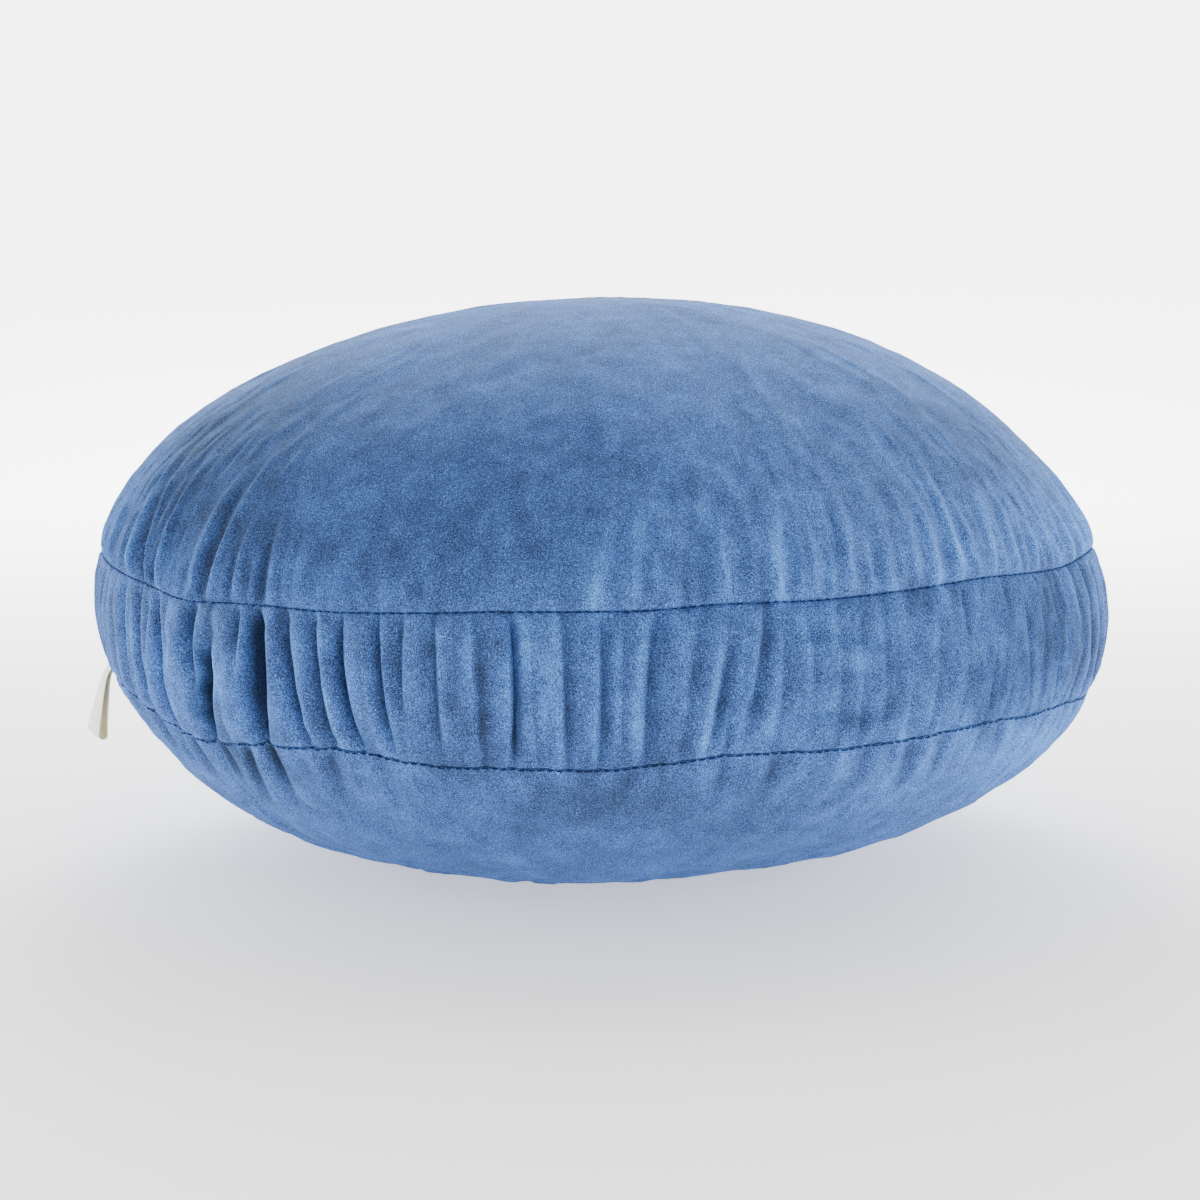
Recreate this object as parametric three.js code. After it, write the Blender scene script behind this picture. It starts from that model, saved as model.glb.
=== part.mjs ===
// Round throw pillow: two round panels sewn to a gathered band, filled, lying on its back.
// Millimetres, +Z up. The origin is on the flat patch it rests on, under the middle of its widest ring.
// Azimuths are in degrees: 0 faces -Y, which is the pillow's front, and they grow towards +X.

import * as THREE from "three";

// Filled form: a superellipse above the widest ring and another below it, cut flat at the bottom
const WIDTH = 400;
const RADIUS = WIDTH / 2;
const CROWN_RISE = 118.6; // from the widest ring up to the crown
const CROWN_POWER = 1.98;
const BELLY_DROP = 104; // from the widest ring down to where an unpressed belly would end
const BELLY_POWER = 2.24;
const PATCH_RADIUS = 80; // flat patch it rests on

// Seams: two lockstitched lines that draw the surface in
const SEAM_DEPTH = 2.2;
const SEAM_SPREAD = 3.2; // distance over which the surface rises again
const SEAM_PINCH = 0.45; // share of a fold's height that is left where the seam holds it
const PINCH_REACH = 10; // distance from a seam where a panel's wrinkle has its whole height

// Band between the seams
const BAND_SWELL = 0.6; // how far it stands out half way up
const GATHER_FADE = 0.25; // share of the band's height over which a short gather dies out
const PUFF_ROUNDNESS = 1.8; // exponent of a puff's fall into its crease: 1 would be a straight slope

// Sewn-in label: a short woven tape folded double, hanging from the bottom seam at the left
const LABEL_AZIMUTH = -84.5;
const LABEL_WIDTH = 22;
const LABEL_LAYER = 1; // thickness of one layer of tape
const LABEL_GAP = 0.5; // between the layers at the seam
const LABEL_LOOP = 2.2; // between the layers just above the fold
const LABEL_TWIST = 10; // degrees the hanging end turns about the vertical
const LABEL_STEPS = 14; // along the hang
const LABEL_COLUMNS = 6; // across the tape
const FOLD_STEPS = 6; // round the fold

// Materials
const VELVET = { color: 0x4a6fa5, roughness: 0.92, metalness: 0 };
const LABEL_TAPE = { color: 0xefece4, roughness: 0.8, metalness: 0 };

// Rows of numbers become objects whose fields are the named columns
const table = (columns, rows) =>
  rows.map((row) => Object.fromEntries(columns.map((name, i) => [name, row[i]])));

// Middle line of the hanging label: out from the body's outline and down from the seam, in mm
const LABEL_HANG = table(
  ["out", "down"],
  [
    [-1.45, 0],
    [1.2, 0.7],
    [3.2, 4],
    [4.4, 10],
    [5.4, 18],
    [6.2, 26.5],
  ],
);

// How the filling slumps: level is the height over the widest ring in mm, lean the shift towards
// +X in mm, swell the change in radius in percent
const SLUMP = table(
  ["level", "lean", "swell"],
  [
    [-100, -8.5, -0.9],
    [-80, -2, -0.6],
    [-50, 2.7, -1.5],
    [-20, 1.7, -0.6],
    [10, 0, -0.4],
    [40, -1.8, -0.1],
    [70, -2.2, 0.8],
    [100, 1.6, 1.3],
    [118, 5.4, 1.6],
  ],
);

// Heights of the two seams above the floor round the pillow, in mm
const SEAMS = table(
  ["at", "top", "bottom"],
  [
    [-180, 120.5, 70],
    [-150, 118, 72],
    [-120, 120, 70],
    [-95, 119.5, 73],
    [-72, 119.2, 76.5],
    [-62, 118.3, 75],
    [-56, 117.4, 73.6],
    [-53, 116.4, 69],
    [-50, 115.4, 63.6],
    [-46, 115.3, 64.4],
    [-38, 117.1, 67.4],
    [-28, 117.2, 69.7],
    [-24, 117.7, 69],
    [-17, 118.8, 66.5],
    [-10, 120, 67.3],
    [0, 120.5, 67.4],
    [5, 120.8, 69],
    [12, 122.2, 71.8],
    [23, 122.2, 71.6],
    [32, 123, 72.2],
    [44, 124.1, 74],
    [52, 123, 72.6],
    [61, 122, 72],
    [71, 122.5, 69],
    [95, 119.5, 70],
    [120, 121, 72],
    [150, 118.5, 68],
    [180, 120.5, 70],
  ],
);

// Gathers of the band that face the front. top and bottom are the azimuths where a crease meets
// the seams, and bow is how far it strays from the straight line between them. depth and half are
// its depth and half width in mm. It runs from one share of the band's height to another.
const GATHER_COLUMNS = ["top", "bottom", "bow", "depth", "half", "from", "to"];
const FRONT_GATHERS = table(GATHER_COLUMNS, [
  [-77.5, -78.4, 0, 3, 7, 0, 1],
  [-74.3, -75, 0, 2, 6, 0, 1],
  [-71, -72, 0, 2.8, 6, 0, 1],
  [-68, -69, 0, 1.6, 5, 0, 1],
  [-65, -66.6, 0.3, 1.8, 5, 0, 1],
  [-62, -64.2, 1.3, 4.4, 7, 0, 1],
  [-59.8, -62, 1, 1.6, 4, 0, 1],
  [-57.3, -59.8, 0.9, 4.2, 6, 0, 1],
  [-55.4, -57.6, 0.8, 2.4, 4, 0.6, 1],
  [-53.4, -55.4, 1, 5.2, 7, 0, 1],
  [-51.3, -53, 0.6, 2.4, 5, 0.65, 1],
  [-46.4, -50, 0.8, 4.8, 7, 0.45, 1],
  [-42.6, -47.3, 1, 9, 8, 0, 1],
  [-41.2, -44.2, 0.4, 2, 5, 0, 0.3],
  [-39.2, -41.4, 0.3, 3.2, 5, 0.6, 1],
  [-36.4, -38.1, 1.6, 9, 9, 0, 1],
  [-32.8, -32, -0.1, 5.6, 7, 0, 1],
  [-29.4, -28.8, -0.1, 4.8, 6.5, 0, 1],
  [-26.1, -25.2, -0.6, 6, 5.5, 0, 1],
  [-24, -23.5, 0, 1, 4, 0, 1],
  [-22.1, -21.7, 0, 4, 4.5, 0.12, 1],
  [-19.4, -20, -0.2, 3, 5, 0.4, 1],
  [-16.2, -16.8, 0.3, 2.6, 4.5, 0.2, 1],
  [-12, -12.3, 0.2, 2.2, 5, 0, 1],
  [-8.7, -9.7, 0.6, 3.6, 4, 0, 1],
  [-6.4, -6.6, 0, 1.2, 3, 0, 1],
  [-3.4, -3.9, 0.1, 2.4, 5, 0, 1],
  [0.3, -0.8, 0.2, 2.8, 5, 0, 1],
  [2.6, 1.4, 0, 1.2, 4, 0, 1],
  [5.7, 4, -0.5, 2.8, 7, 0, 1],
  [9.8, 7.3, 0, 1.8, 6, 0, 1],
  [13.2, 9.9, 0, 4.2, 6, 0, 0.85],
  [16, 11.9, 1, 3.2, 5, 0, 1],
  [18.3, 16.4, 0.4, 1.6, 5, 0, 1],
  [20.8, 20.4, 0.2, 1.8, 5, 0.3, 1],
  [24, 23.6, 0, 1.2, 5, 0, 1],
  [26.6, 26, 0, 1.2, 4, 0, 1],
  [29.3, 28.6, 0, 1.4, 5, 0, 1],
  [32.9, 31.5, 0, 1.8, 5, 0, 1],
  [36.2, 34.7, 0, 1.8, 5, 0, 1],
  [40, 38.6, 0, 1.4, 5, 0, 1],
  [43.8, 42.8, 0, 1.4, 5, 0, 1],
  [46.5, 46, 0, 1.2, 4, 0, 1],
  [49.4, 49.8, 0, 2.4, 6, 0, 1],
  [52.8, 52.6, 0, 1.6, 5, 0, 1],
  [56, 56, 0, 1.4, 5, 0, 1],
  [59.3, 59.2, 0, 1.8, 5, 0, 1],
  [62.3, 61.8, 0, 2.8, 6, 0, 1],
  [66.2, 66.8, 0, 3, 6, 0, 1],
  [70.4, 70.6, 0, 2.8, 6, 0, 1],
  [74.2, 74.6, 0, 2.4, 6, 0, 1],
]);

// Wrinkles of the panels that face the front. at is the azimuth where one leaves the seam, lean its
// turn in degrees for each 10 mm away from the seam, height its rise in mm (below zero a furrow),
// half its half width in degrees, reach how far from the seam it dies out.
const WRINKLE_COLUMNS = ["at", "lean", "height", "half", "reach"];
const TOP_WRINKLES = table(WRINKLE_COLUMNS, [
  [-68.9, -1.3, 1.3, 1.1, 48],
  [-61.5, -1.1, 1.5, 0.9, 62],
  [-57.4, -1.2, -1, 1.2, 60],
  [-56.5, -1.1, 1.2, 0.6, 62],
  [-54.9, -0.3, 1.6, 0.7, 68],
  [-48.1, 0.2, 1.2, 1, 58],
  [-45.5, 0.3, -1.1, 1.1, 55],
  [-44.1, 0.2, 1.7, 0.7, 66],
  [-40.1, -0.1, 0.9, 0.7, 36],
  [-36.9, -0.2, -1.2, 0.8, 45],
  [-35.4, -0.4, 1.4, 0.7, 48],
  [-31.4, 0, 0.6, 0.8, 42],
  [-9.5, 0.2, 0.6, 0.9, 34],
  [-0.8, 0.8, 1, 0.9, 36],
  [3.3, 0.4, 0.9, 0.8, 44],
  [12.8, 0.2, 0.8, 0.8, 36],
  [18, 0.5, 1, 0.8, 38],
  [21.8, 0.6, 0.9, 0.7, 34],
  [25.8, 0.7, 1.1, 0.8, 42],
  [30.8, 0.5, 0.8, 0.8, 34],
  [34.3, 0.5, 1, 0.8, 42],
  [37, 0.6, 1.1, 0.7, 40],
  [40.4, 0.6, 1.3, 0.8, 56],
  [45.6, 1.1, 1.2, 0.8, 42],
  [49.8, 0.9, 1.2, 0.8, 40],
  [54, 1.1, 1.3, 0.8, 42],
  [57.7, 0.9, 1.1, 0.8, 38],
  [61.4, 0.8, 1, 0.9, 34],
  [64.8, 0.3, 1.3, 0.9, 34],
  [69.5, 0.2, 1, 1.1, 32],
  [74, 0, 1, 1.1, 34],
]);
const BOTTOM_WRINKLES = table(WRINKLE_COLUMNS, [
  [-66, -0.6, -1, 1.2, 26],
  [-59.6, -0.6, -1.6, 1.1, 24],
  [-56.2, -0.6, -1.4, 0.9, 26],
  [-53, -0.5, -1.8, 1, 26],
  [-47.2, 0.2, -3, 1.2, 22],
  [-42.3, -0.7, -2.6, 1.1, 34],
  [-38.4, -0.3, -3, 1.1, 30],
  [-29.9, -0.4, -1.3, 1.1, 26],
  [2.4, -0.9, -0.9, 1.1, 24],
  [11.8, -0.2, -1.1, 0.9, 24],
  [17.3, -0.4, -1.3, 0.9, 24],
  [27.4, 0, -1.3, 0.8, 22],
  [33, 0.1, -1.2, 0.8, 24],
  [37.3, 0.1, -1.2, 0.8, 24],
  [46.2, 0.2, -1.1, 0.9, 22],
  [56, 0.3, -1, 1, 22],
  [67, 0.4, -1, 1.2, 22],
]);

// Rows of the body's mesh, as shares of the way across the band or from a seam to the panel's end
const BAND_ROWS = [0, 0.09, 0.28, 0.5, 0.72, 0.91, 1];
const TOP_ROWS = { full: [0.016, 0.05, 0.105, 0.175], half: [0.26, 0.36], quarter: [0.49, 0.64, 0.82] };
const BOTTOM_ROWS = { full: [0.026, 0.08, 0.17], half: [0.3], quarter: [0.46, 0.72, 1] };
const OUTLINE_STEPS = 240;
const WIDE_GAP = 3.4; // degrees between creases from which a puff takes a third line
const NARROW_GAP = 2.1; // degrees below which it takes only one
const PUFF_LINES = { wide: [0.2, 0.5, 0.8], usual: [0.3, 0.7], narrow: [0.5] };

// Back of the pillow, finished plainly: gathers and wrinkles at uneven steps, each value drawn
// between two limits, azimuths in degrees and lengths in mm
const BACK = {
  from: 78,
  to: 278.4,
  seed: 7,
  gatherStep: [3.6, 5.6],
  gatherShift: [-0.5, 0.5],
  gatherSlant: [-1, 1],
  gatherBow: [-0.5, 0.5],
  deepShare: 0.35,
  deep: { depth: [4, 6.5], half: [6, 8] },
  shallow: { depth: [1.5, 3.2], half: [4, 6] },
  wholeShare: 0.7,
  shortFrom: [0, 0.4],
  shortTo: [0.7, 1],
  wrinkleStep: [3.4, 6],
  wrinkleLean: [-0.5, 0.5],
  wrinkleHalf: [0.8, 1.1],
  top: { height: [0.7, 1.3], reach: [30, 55] },
  bottom: { height: [-1.6, -0.8], reach: [18, 34] },
};

const UP = new THREE.Vector3(0, 0, 1);
const degrees = (radians) => (radians * 180) / Math.PI;
const radians = (angle) => (angle * Math.PI) / 180;
const wrap = (angle) => angle - 360 * Math.round(angle / 360);

// One repeatable stream of numbers between 0 and 1
function stream(seed) {
  let state = seed;
  return () => {
    state = (state * 16807) % 2147483647;
    return state / 2147483647;
  };
}

// One column's value at x, on a smooth curve through the table's rows
function along(rows, key, column, x) {
  const last = rows.length - 1;
  let i = 0;
  while (i < last - 1 && x > rows[i + 1][key]) i += 1;
  const slope = (j) => {
    const before = rows[Math.max(j - 1, 0)];
    const after = rows[Math.min(j + 1, last)];
    return (after[column] - before[column]) / (after[key] - before[key]);
  };
  const span = rows[i + 1][key] - rows[i][key];
  const t = THREE.MathUtils.clamp((x - rows[i][key]) / span, 0, 1);
  const blend = t * t * (3 - 2 * t);
  const leave = t * (1 - t) * (1 - t) * span * slope(i);
  const arrive = t * t * (t - 1) * span * slope(i + 1);
  return rows[i][column] * (1 - blend) + rows[i + 1][column] * blend + leave + arrive;
}

// Outline of one side, from the belly's end up to the crown: arc is the length along it, counted
// from the widest ring, and (outX, outZ) is the direction out of the cloth
function makeOutline(steps) {
  const points = [];
  for (let i = -steps; i <= steps; i += 1) {
    const angle = ((i / steps) * Math.PI) / 2;
    const rise = i < 0 ? BELLY_DROP : CROWN_RISE;
    const power = 2 / (i < 0 ? BELLY_POWER : CROWN_POWER);
    const radius = i === steps ? 0 : RADIUS * Math.cos(angle) ** power;
    const level = Math.sign(i) * rise * Math.abs(Math.sin(angle)) ** power;
    const before = points[points.length - 1];
    const step = before ? Math.hypot(radius - before.radius, level - before.level) : 0;
    points.push({ radius, level, arc: before ? before.arc + step : 0 });
  }
  const zero = points[steps].arc;
  points.forEach((point, i) => {
    const before = points[Math.max(i - 1, 0)];
    const after = points[Math.min(i + 1, points.length - 1)];
    const length = Math.hypot(after.radius - before.radius, after.level - before.level);
    point.outX = (after.level - before.level) / length;
    point.outZ = (before.radius - after.radius) / length;
    point.arc -= zero;
  });
  return points;
}
const OUTLINE = makeOutline(OUTLINE_STEPS);

// The outline's point at a value of one of its rising columns, arc or level
function outlineAt(key, value) {
  let i = 0;
  while (i < OUTLINE.length - 2 && value > OUTLINE[i + 1][key]) i += 1;
  const [low, high] = [OUTLINE[i], OUTLINE[i + 1]];
  const t = THREE.MathUtils.clamp((value - low[key]) / (high[key] - low[key]), 0, 1);
  return Object.fromEntries(Object.keys(low).map((name) => [name, low[name] + (high[name] - low[name]) * t]));
}

const RING_HEIGHT = BELLY_DROP * (1 - (PATCH_RADIUS / RADIUS) ** BELLY_POWER) ** (1 / BELLY_POWER);
const ARC_CROWN = OUTLINE[OUTLINE.length - 1].arc;
const ARC_PATCH = outlineAt("level", -RING_HEIGHT).arc;

// A point of the body at an azimuth and an arc along the outline, offset out of the cloth
function bodyPoint(azimuth, arc, offset) {
  const side = outlineAt("arc", arc);
  const lean = along(SLUMP, "level", "lean", side.level);
  const swell = along(SLUMP, "level", "swell", side.level) / 100;
  const radius = side.radius * (1 + swell) + side.outX * offset;
  const turn = radians(azimuth);
  return new THREE.Vector3(
    radius * Math.sin(turn) + lean,
    -radius * Math.cos(turn),
    Math.max(RING_HEIGHT + side.level + side.outZ * offset, 0),
  );
}

// Arc of a seam at an azimuth
const seamArc = (azimuth, seam) =>
  outlineAt("level", along(SEAMS, "at", seam, wrap(azimuth)) - RING_HEIGHT).arc;

// Gathers and wrinkles of the back
const random = stream(BACK.seed);
const between = ([low, high]) => low + (high - low) * random();

function backGathers() {
  const rows = [];
  for (let at = BACK.from; at < BACK.to; at += between(BACK.gatherStep)) {
    const size = random() < BACK.deepShare ? BACK.deep : BACK.shallow;
    const whole = random() < BACK.wholeShare;
    rows.push({
      top: at + between(BACK.gatherShift),
      bottom: at + between(BACK.gatherSlant),
      bow: between(BACK.gatherBow),
      depth: between(size.depth),
      half: between(size.half),
      from: whole ? 0 : between(BACK.shortFrom),
      to: whole ? 1 : between(BACK.shortTo),
    });
  }
  return rows;
}

function backWrinkles({ height, reach }) {
  const rows = [];
  for (let at = BACK.from; at < BACK.to; at += between(BACK.wrinkleStep)) {
    rows.push({
      at,
      lean: between(BACK.wrinkleLean),
      height: between(height),
      half: between(BACK.wrinkleHalf),
      reach: between(reach),
    });
  }
  return rows;
}

const GATHERS = [...FRONT_GATHERS, ...backGathers()];
const PANEL_WRINKLES = {
  top: [...TOP_WRINKLES, ...backWrinkles(BACK.top)],
  bottom: [...BOTTOM_WRINKLES, ...backWrinkles(BACK.bottom)],
};

// Azimuth of a gather's crease at a share of the band's height
const creaseAzimuth = (gather, share) =>
  gather.bottom + (gather.top - gather.bottom) * share + gather.bow * 4 * share * (1 - share);

// How much of a gather is left at a share of the band's height: it fades past its ends, and the
// seams pinch it
function gatherStrength({ from, to }, share) {
  const { smoothstep } = THREE.MathUtils;
  const rise = from > 0 ? smoothstep(share, from - GATHER_FADE, from + GATHER_FADE) : 1;
  const fall = to < 1 ? 1 - smoothstep(share, to - GATHER_FADE, to + GATHER_FADE) : 1;
  return rise * fall * (SEAM_PINCH + (1 - SEAM_PINCH) * Math.sqrt(Math.sin(Math.PI * share)));
}

// Depth of the band's surface under its outline: sharp creases between rounded puffs
function bandOffset(azimuth, share) {
  const sag = GATHERS.reduce((sum, gather) => {
    const away = Math.abs(radians(wrap(azimuth - creaseAzimuth(gather, share)))) * RADIUS;
    const near = Math.max(1 - away / gather.half, 0);
    return sum + gather.depth * gatherStrength(gather, share) * near ** PUFF_ROUNDNESS;
  }, 0);
  return BAND_SWELL * Math.sin(Math.PI * share) - sag;
}

// Rise of a panel's surface at a distance from its seam
function panelOffset(wrinkles, azimuth, distance) {
  const pinch = SEAM_PINCH + (1 - SEAM_PINCH) * Math.min(distance / PINCH_REACH, 1);
  return wrinkles.reduce((sum, wrinkle) => {
    const centre = wrinkle.at + (wrinkle.lean * distance) / 10;
    const across = wrap(azimuth - centre) / wrinkle.half;
    const fade = Math.max(1 - distance / wrinkle.reach, 0);
    return sum + wrinkle.height * pinch * fade * Math.exp(-across * across);
  }, 0);
}

// How far a seam draws the surface in at a distance from it
const drawIn = (distance) => -SEAM_DEPTH * Math.exp(-distance / SEAM_SPREAD);

// Lines of the band: one on each crease, and one to three on the puff between two creases
function bandLines() {
  const lines = [];
  GATHERS.forEach((gather, i) => {
    const next = GATHERS[(i + 1) % GATHERS.length];
    const gap = (next.top - gather.top + 360) % 360;
    const kind = gap > WIDE_GAP ? "wide" : gap < NARROW_GAP ? "narrow" : "usual";
    [0, ...PUFF_LINES[kind]].forEach((t) => lines.push({ gather, next, t }));
  });
  return lines.map(({ gather, next, t }) => (share) => {
    const start = creaseAzimuth(gather, share);
    return start + ((creaseAzimuth(next, share) - start + 360) % 360) * t;
  });
}
const LINES = bandLines();

// A ring of points: where each of its lines crosses one row
const bandRing = (share) =>
  LINES.map((line) => {
    const azimuth = line(share);
    const low = seamArc(azimuth, "bottom");
    const high = seamArc(azimuth, "top");
    const arc = low + (high - low) * share;
    const relief = bandOffset(azimuth, share) + drawIn(arc - low) + drawIn(high - arc);
    return { azimuth, point: bodyPoint(azimuth, arc, relief) };
  });

const panelRing = (seam, azimuths, share) =>
  azimuths.map((azimuth) => {
    const from = seamArc(azimuth, seam);
    const arc = from + ((seam === "top" ? ARC_CROWN : ARC_PATCH) - from) * share;
    const distance = Math.abs(arc - from);
    const relief = panelOffset(PANEL_WRINKLES[seam], azimuth, distance) + drawIn(distance);
    return { azimuth, point: bodyPoint(azimuth, arc, relief) };
  });

const evenAzimuths = (count, start) => Array.from({ length: count }, (_, i) => start + (i * 360) / count);

// Rings of one panel, from its seam inwards, with fewer points as they get shorter
function panelRings(seam, rows) {
  const atSeam = LINES.map((line) => line(seam === "top" ? 1 : 0));
  const half = evenAzimuths(Math.round(LINES.length / 2), atSeam[0]);
  const quarter = evenAzimuths(Math.round(LINES.length / 4), atSeam[0]);
  return [
    ...rows.full.map((share) => panelRing(seam, atSeam, share)),
    ...rows.half.map((share) => panelRing(seam, half, share)),
    ...rows.quarter.map((share) => panelRing(seam, quarter, share)),
  ];
}

// Triangles between two rings that run the same way round: rings of like counts are joined point to
// point, so that edges follow the folds, and others by azimuth
function zip(lower, upper) {
  const triangles = [];
  const alike = lower.length === upper.length;
  const azimuthAt = (ring, i) => (i < ring.length ? ring[i].azimuth : ring[i - ring.length].azimuth + 360);
  let a = 0;
  let b = 0;
  while (a < lower.length || b < upper.length) {
    const [p, q] = [lower[a % lower.length].index, upper[b % upper.length].index];
    const lowerNext = alike ? a <= b : azimuthAt(lower, a + 1) <= azimuthAt(upper, b + 1);
    if (b >= upper.length || (a < lower.length && lowerNext)) {
      a += 1;
      triangles.push([p, lower[a % lower.length].index, q]);
    } else {
      b += 1;
      triangles.push([p, upper[b % upper.length].index, q]);
    }
  }
  return triangles;
}

// A closed body from stacked rings, lowest first, with a point in the middle of each end
function stackedBody(rings, lowest, highest) {
  const ends = { low: { point: lowest, index: 0 }, high: { point: highest, index: 1 + rings.flat().length } };
  rings.flat().forEach((spot, i) => {
    spot.index = 1 + i;
  });
  const triangles = rings.slice(1).flatMap((ring, i) => zip(rings[i], ring));
  rings[0].forEach((spot, i, ring) => {
    triangles.push([ends.low.index, ring[(i + 1) % ring.length].index, spot.index]);
  });
  rings[rings.length - 1].forEach((spot, i, ring) => {
    triangles.push([ends.high.index, spot.index, ring[(i + 1) % ring.length].index]);
  });
  const spots = [ends.low, ...rings.flat(), ends.high];
  const geometry = new THREE.BufferGeometry().setFromPoints(spots.map((spot) => spot.point));
  geometry.setIndex(triangles.flat());
  geometry.computeVertexNormals();
  return geometry;
}

// The filled cover: bottom panel, band and top panel in one closed body
function cushionGeometry() {
  const rings = [
    ...panelRings("bottom", BOTTOM_ROWS).reverse(),
    ...BAND_ROWS.map(bandRing),
    ...panelRings("top", TOP_ROWS),
  ];
  return stackedBody(rings, new THREE.Vector3(0, 0, 0), bodyPoint(0, ARC_CROWN, 0));
}

// Section of the folded tape, as pairs of a share of the hang and a distance from its middle line:
// down the outer layer, round the fold, up the inner layer, and back inside both
function labelSection() {
  const outer = [];
  const inner = [];
  for (let i = 0; i <= LABEL_STEPS; i += 1) {
    const share = i / LABEL_STEPS;
    const half = (LABEL_GAP + (LABEL_LOOP - LABEL_GAP) * share * share) / 2;
    outer.push([share, half + LABEL_LAYER]);
    inner.push([share, half]);
  }
  const half = LABEL_LOOP / 2;
  const round = (radius) =>
    Array.from({ length: FOLD_STEPS - 1 }, (_, i) => {
      const angle = ((i + 1) / FOLD_STEPS) * Math.PI;
      return [1, radius * Math.cos(angle), radius * Math.sin(angle)];
    });
  const mirror = (points) => points.map(([share, side]) => [share, -side]).reverse();
  return [
    ...outer,
    ...round(half + LABEL_LAYER),
    ...mirror(outer),
    ...mirror(inner).reverse(),
    ...round(half).reverse(),
    ...inner.reverse(),
  ];
}

// The label: its section carried across the width of the tape, rooted along the seam
function labelGeometry() {
  const hang = new THREE.CatmullRomCurve3(LABEL_HANG.map((row) => new THREE.Vector3(row.out, -row.down, 0)));
  const section = labelSection();
  const root = bodyPoint(LABEL_AZIMUTH, seamArc(LABEL_AZIMUTH, "bottom"), 0);
  const points = [];
  for (let column = 0; column <= LABEL_COLUMNS; column += 1) {
    const across = (column / LABEL_COLUMNS - 0.5) * LABEL_WIDTH;
    const azimuth = LABEL_AZIMUTH + degrees(across / RADIUS);
    const seam = bodyPoint(azimuth, seamArc(azimuth, "bottom"), 0);
    section.forEach(([share, side, past = 0]) => {
      const middle = hang.getPoint(share);
      const ahead = hang.getTangent(share);
      const out = middle.x - ahead.y * side + ahead.x * past;
      const down = middle.y + ahead.x * side + ahead.y * past;
      const turn = radians(azimuth);
      const away = new THREE.Vector3(out * Math.sin(turn), -out * Math.cos(turn), down);
      const twist = radians(LABEL_TWIST) * share;
      points.push(away.add(seam).sub(root).applyAxisAngle(UP, twist).add(root));
    });
  }
  const count = section.length;
  const triangles = [];
  for (let column = 0; column < LABEL_COLUMNS; column += 1) {
    for (let i = 0; i < count; i += 1) {
      const [a, b] = [column * count + i, column * count + ((i + 1) % count)];
      triangles.push([a, b, b + count], [a, b + count, a + count]);
    }
  }
  // Each side edge is a strip between the outside and the inside of the U
  for (let i = 0; i < count / 2 - 1; i += 1) {
    const [outA, outB, inA, inB] = [i, i + 1, count - 1 - i, count - 2 - i];
    const last = LABEL_COLUMNS * count;
    triangles.push([outA, inA, outB], [outB, inA, inB]);
    triangles.push([last + outA, last + outB, last + inA], [last + outB, last + inB, last + inA]);
  }
  const geometry = new THREE.BufferGeometry().setFromPoints(points);
  geometry.setIndex(triangles.flat());
  geometry.computeVertexNormals();
  return geometry;
}

function piece(name, geometry, finish) {
  const mesh = new THREE.Mesh(geometry, new THREE.MeshStandardMaterial(finish));
  mesh.name = name;
  return mesh;
}

const pillow = new THREE.Group();
pillow.add(piece("cushion", cushionGeometry(), VELVET));
pillow.add(piece("label", labelGeometry(), LABEL_TAPE));

export default pillow;
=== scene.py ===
import math

import bpy
import numpy as np
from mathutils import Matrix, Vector


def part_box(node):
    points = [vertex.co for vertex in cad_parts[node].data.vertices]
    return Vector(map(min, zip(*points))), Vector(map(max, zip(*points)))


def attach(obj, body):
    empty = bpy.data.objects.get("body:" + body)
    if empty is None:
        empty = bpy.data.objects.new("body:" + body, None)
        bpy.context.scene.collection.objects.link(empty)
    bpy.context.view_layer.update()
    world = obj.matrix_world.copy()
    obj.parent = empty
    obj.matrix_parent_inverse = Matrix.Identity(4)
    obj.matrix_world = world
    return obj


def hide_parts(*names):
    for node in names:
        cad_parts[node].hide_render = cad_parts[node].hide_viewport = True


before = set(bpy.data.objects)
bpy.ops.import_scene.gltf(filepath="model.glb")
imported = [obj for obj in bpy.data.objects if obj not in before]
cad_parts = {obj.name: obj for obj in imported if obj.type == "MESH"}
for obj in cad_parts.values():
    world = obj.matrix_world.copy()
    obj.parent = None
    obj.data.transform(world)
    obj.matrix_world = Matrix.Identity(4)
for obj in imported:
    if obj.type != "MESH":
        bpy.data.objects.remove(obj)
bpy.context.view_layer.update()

# The filled cover: two round panels of short velvet sewn to an upright band, turned and stuffed with
# fibre. The filling crowns both panels, the two seams draw the surface in, and the band, cut longer
# than the seams it meets, stands in upright puffs between creases.
# Lengths are in millimetres until the mesh is made. Azimuths are in degrees: 0 faces -Y, the front,
# and they grow towards +X.
MM = 0.001
cushion_low, cushion_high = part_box("cushion")
RADIUS = 200
BELLY_DROP = 104  # from the widest ring down to where an unpressed belly would end
BELLY_POWER = 2.24
CROWN_POWER = 1.98
PATCH_RADIUS = 80  # flat patch that it rests on
RING_HEIGHT = BELLY_DROP * (1 - (PATCH_RADIUS / RADIUS) ** BELLY_POWER) ** (1 / BELLY_POWER)
CROWN_RISE = (cushion_high.z - cushion_low.z) / MM - RING_HEIGHT
OUTLINE_STEPS = 1200

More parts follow.
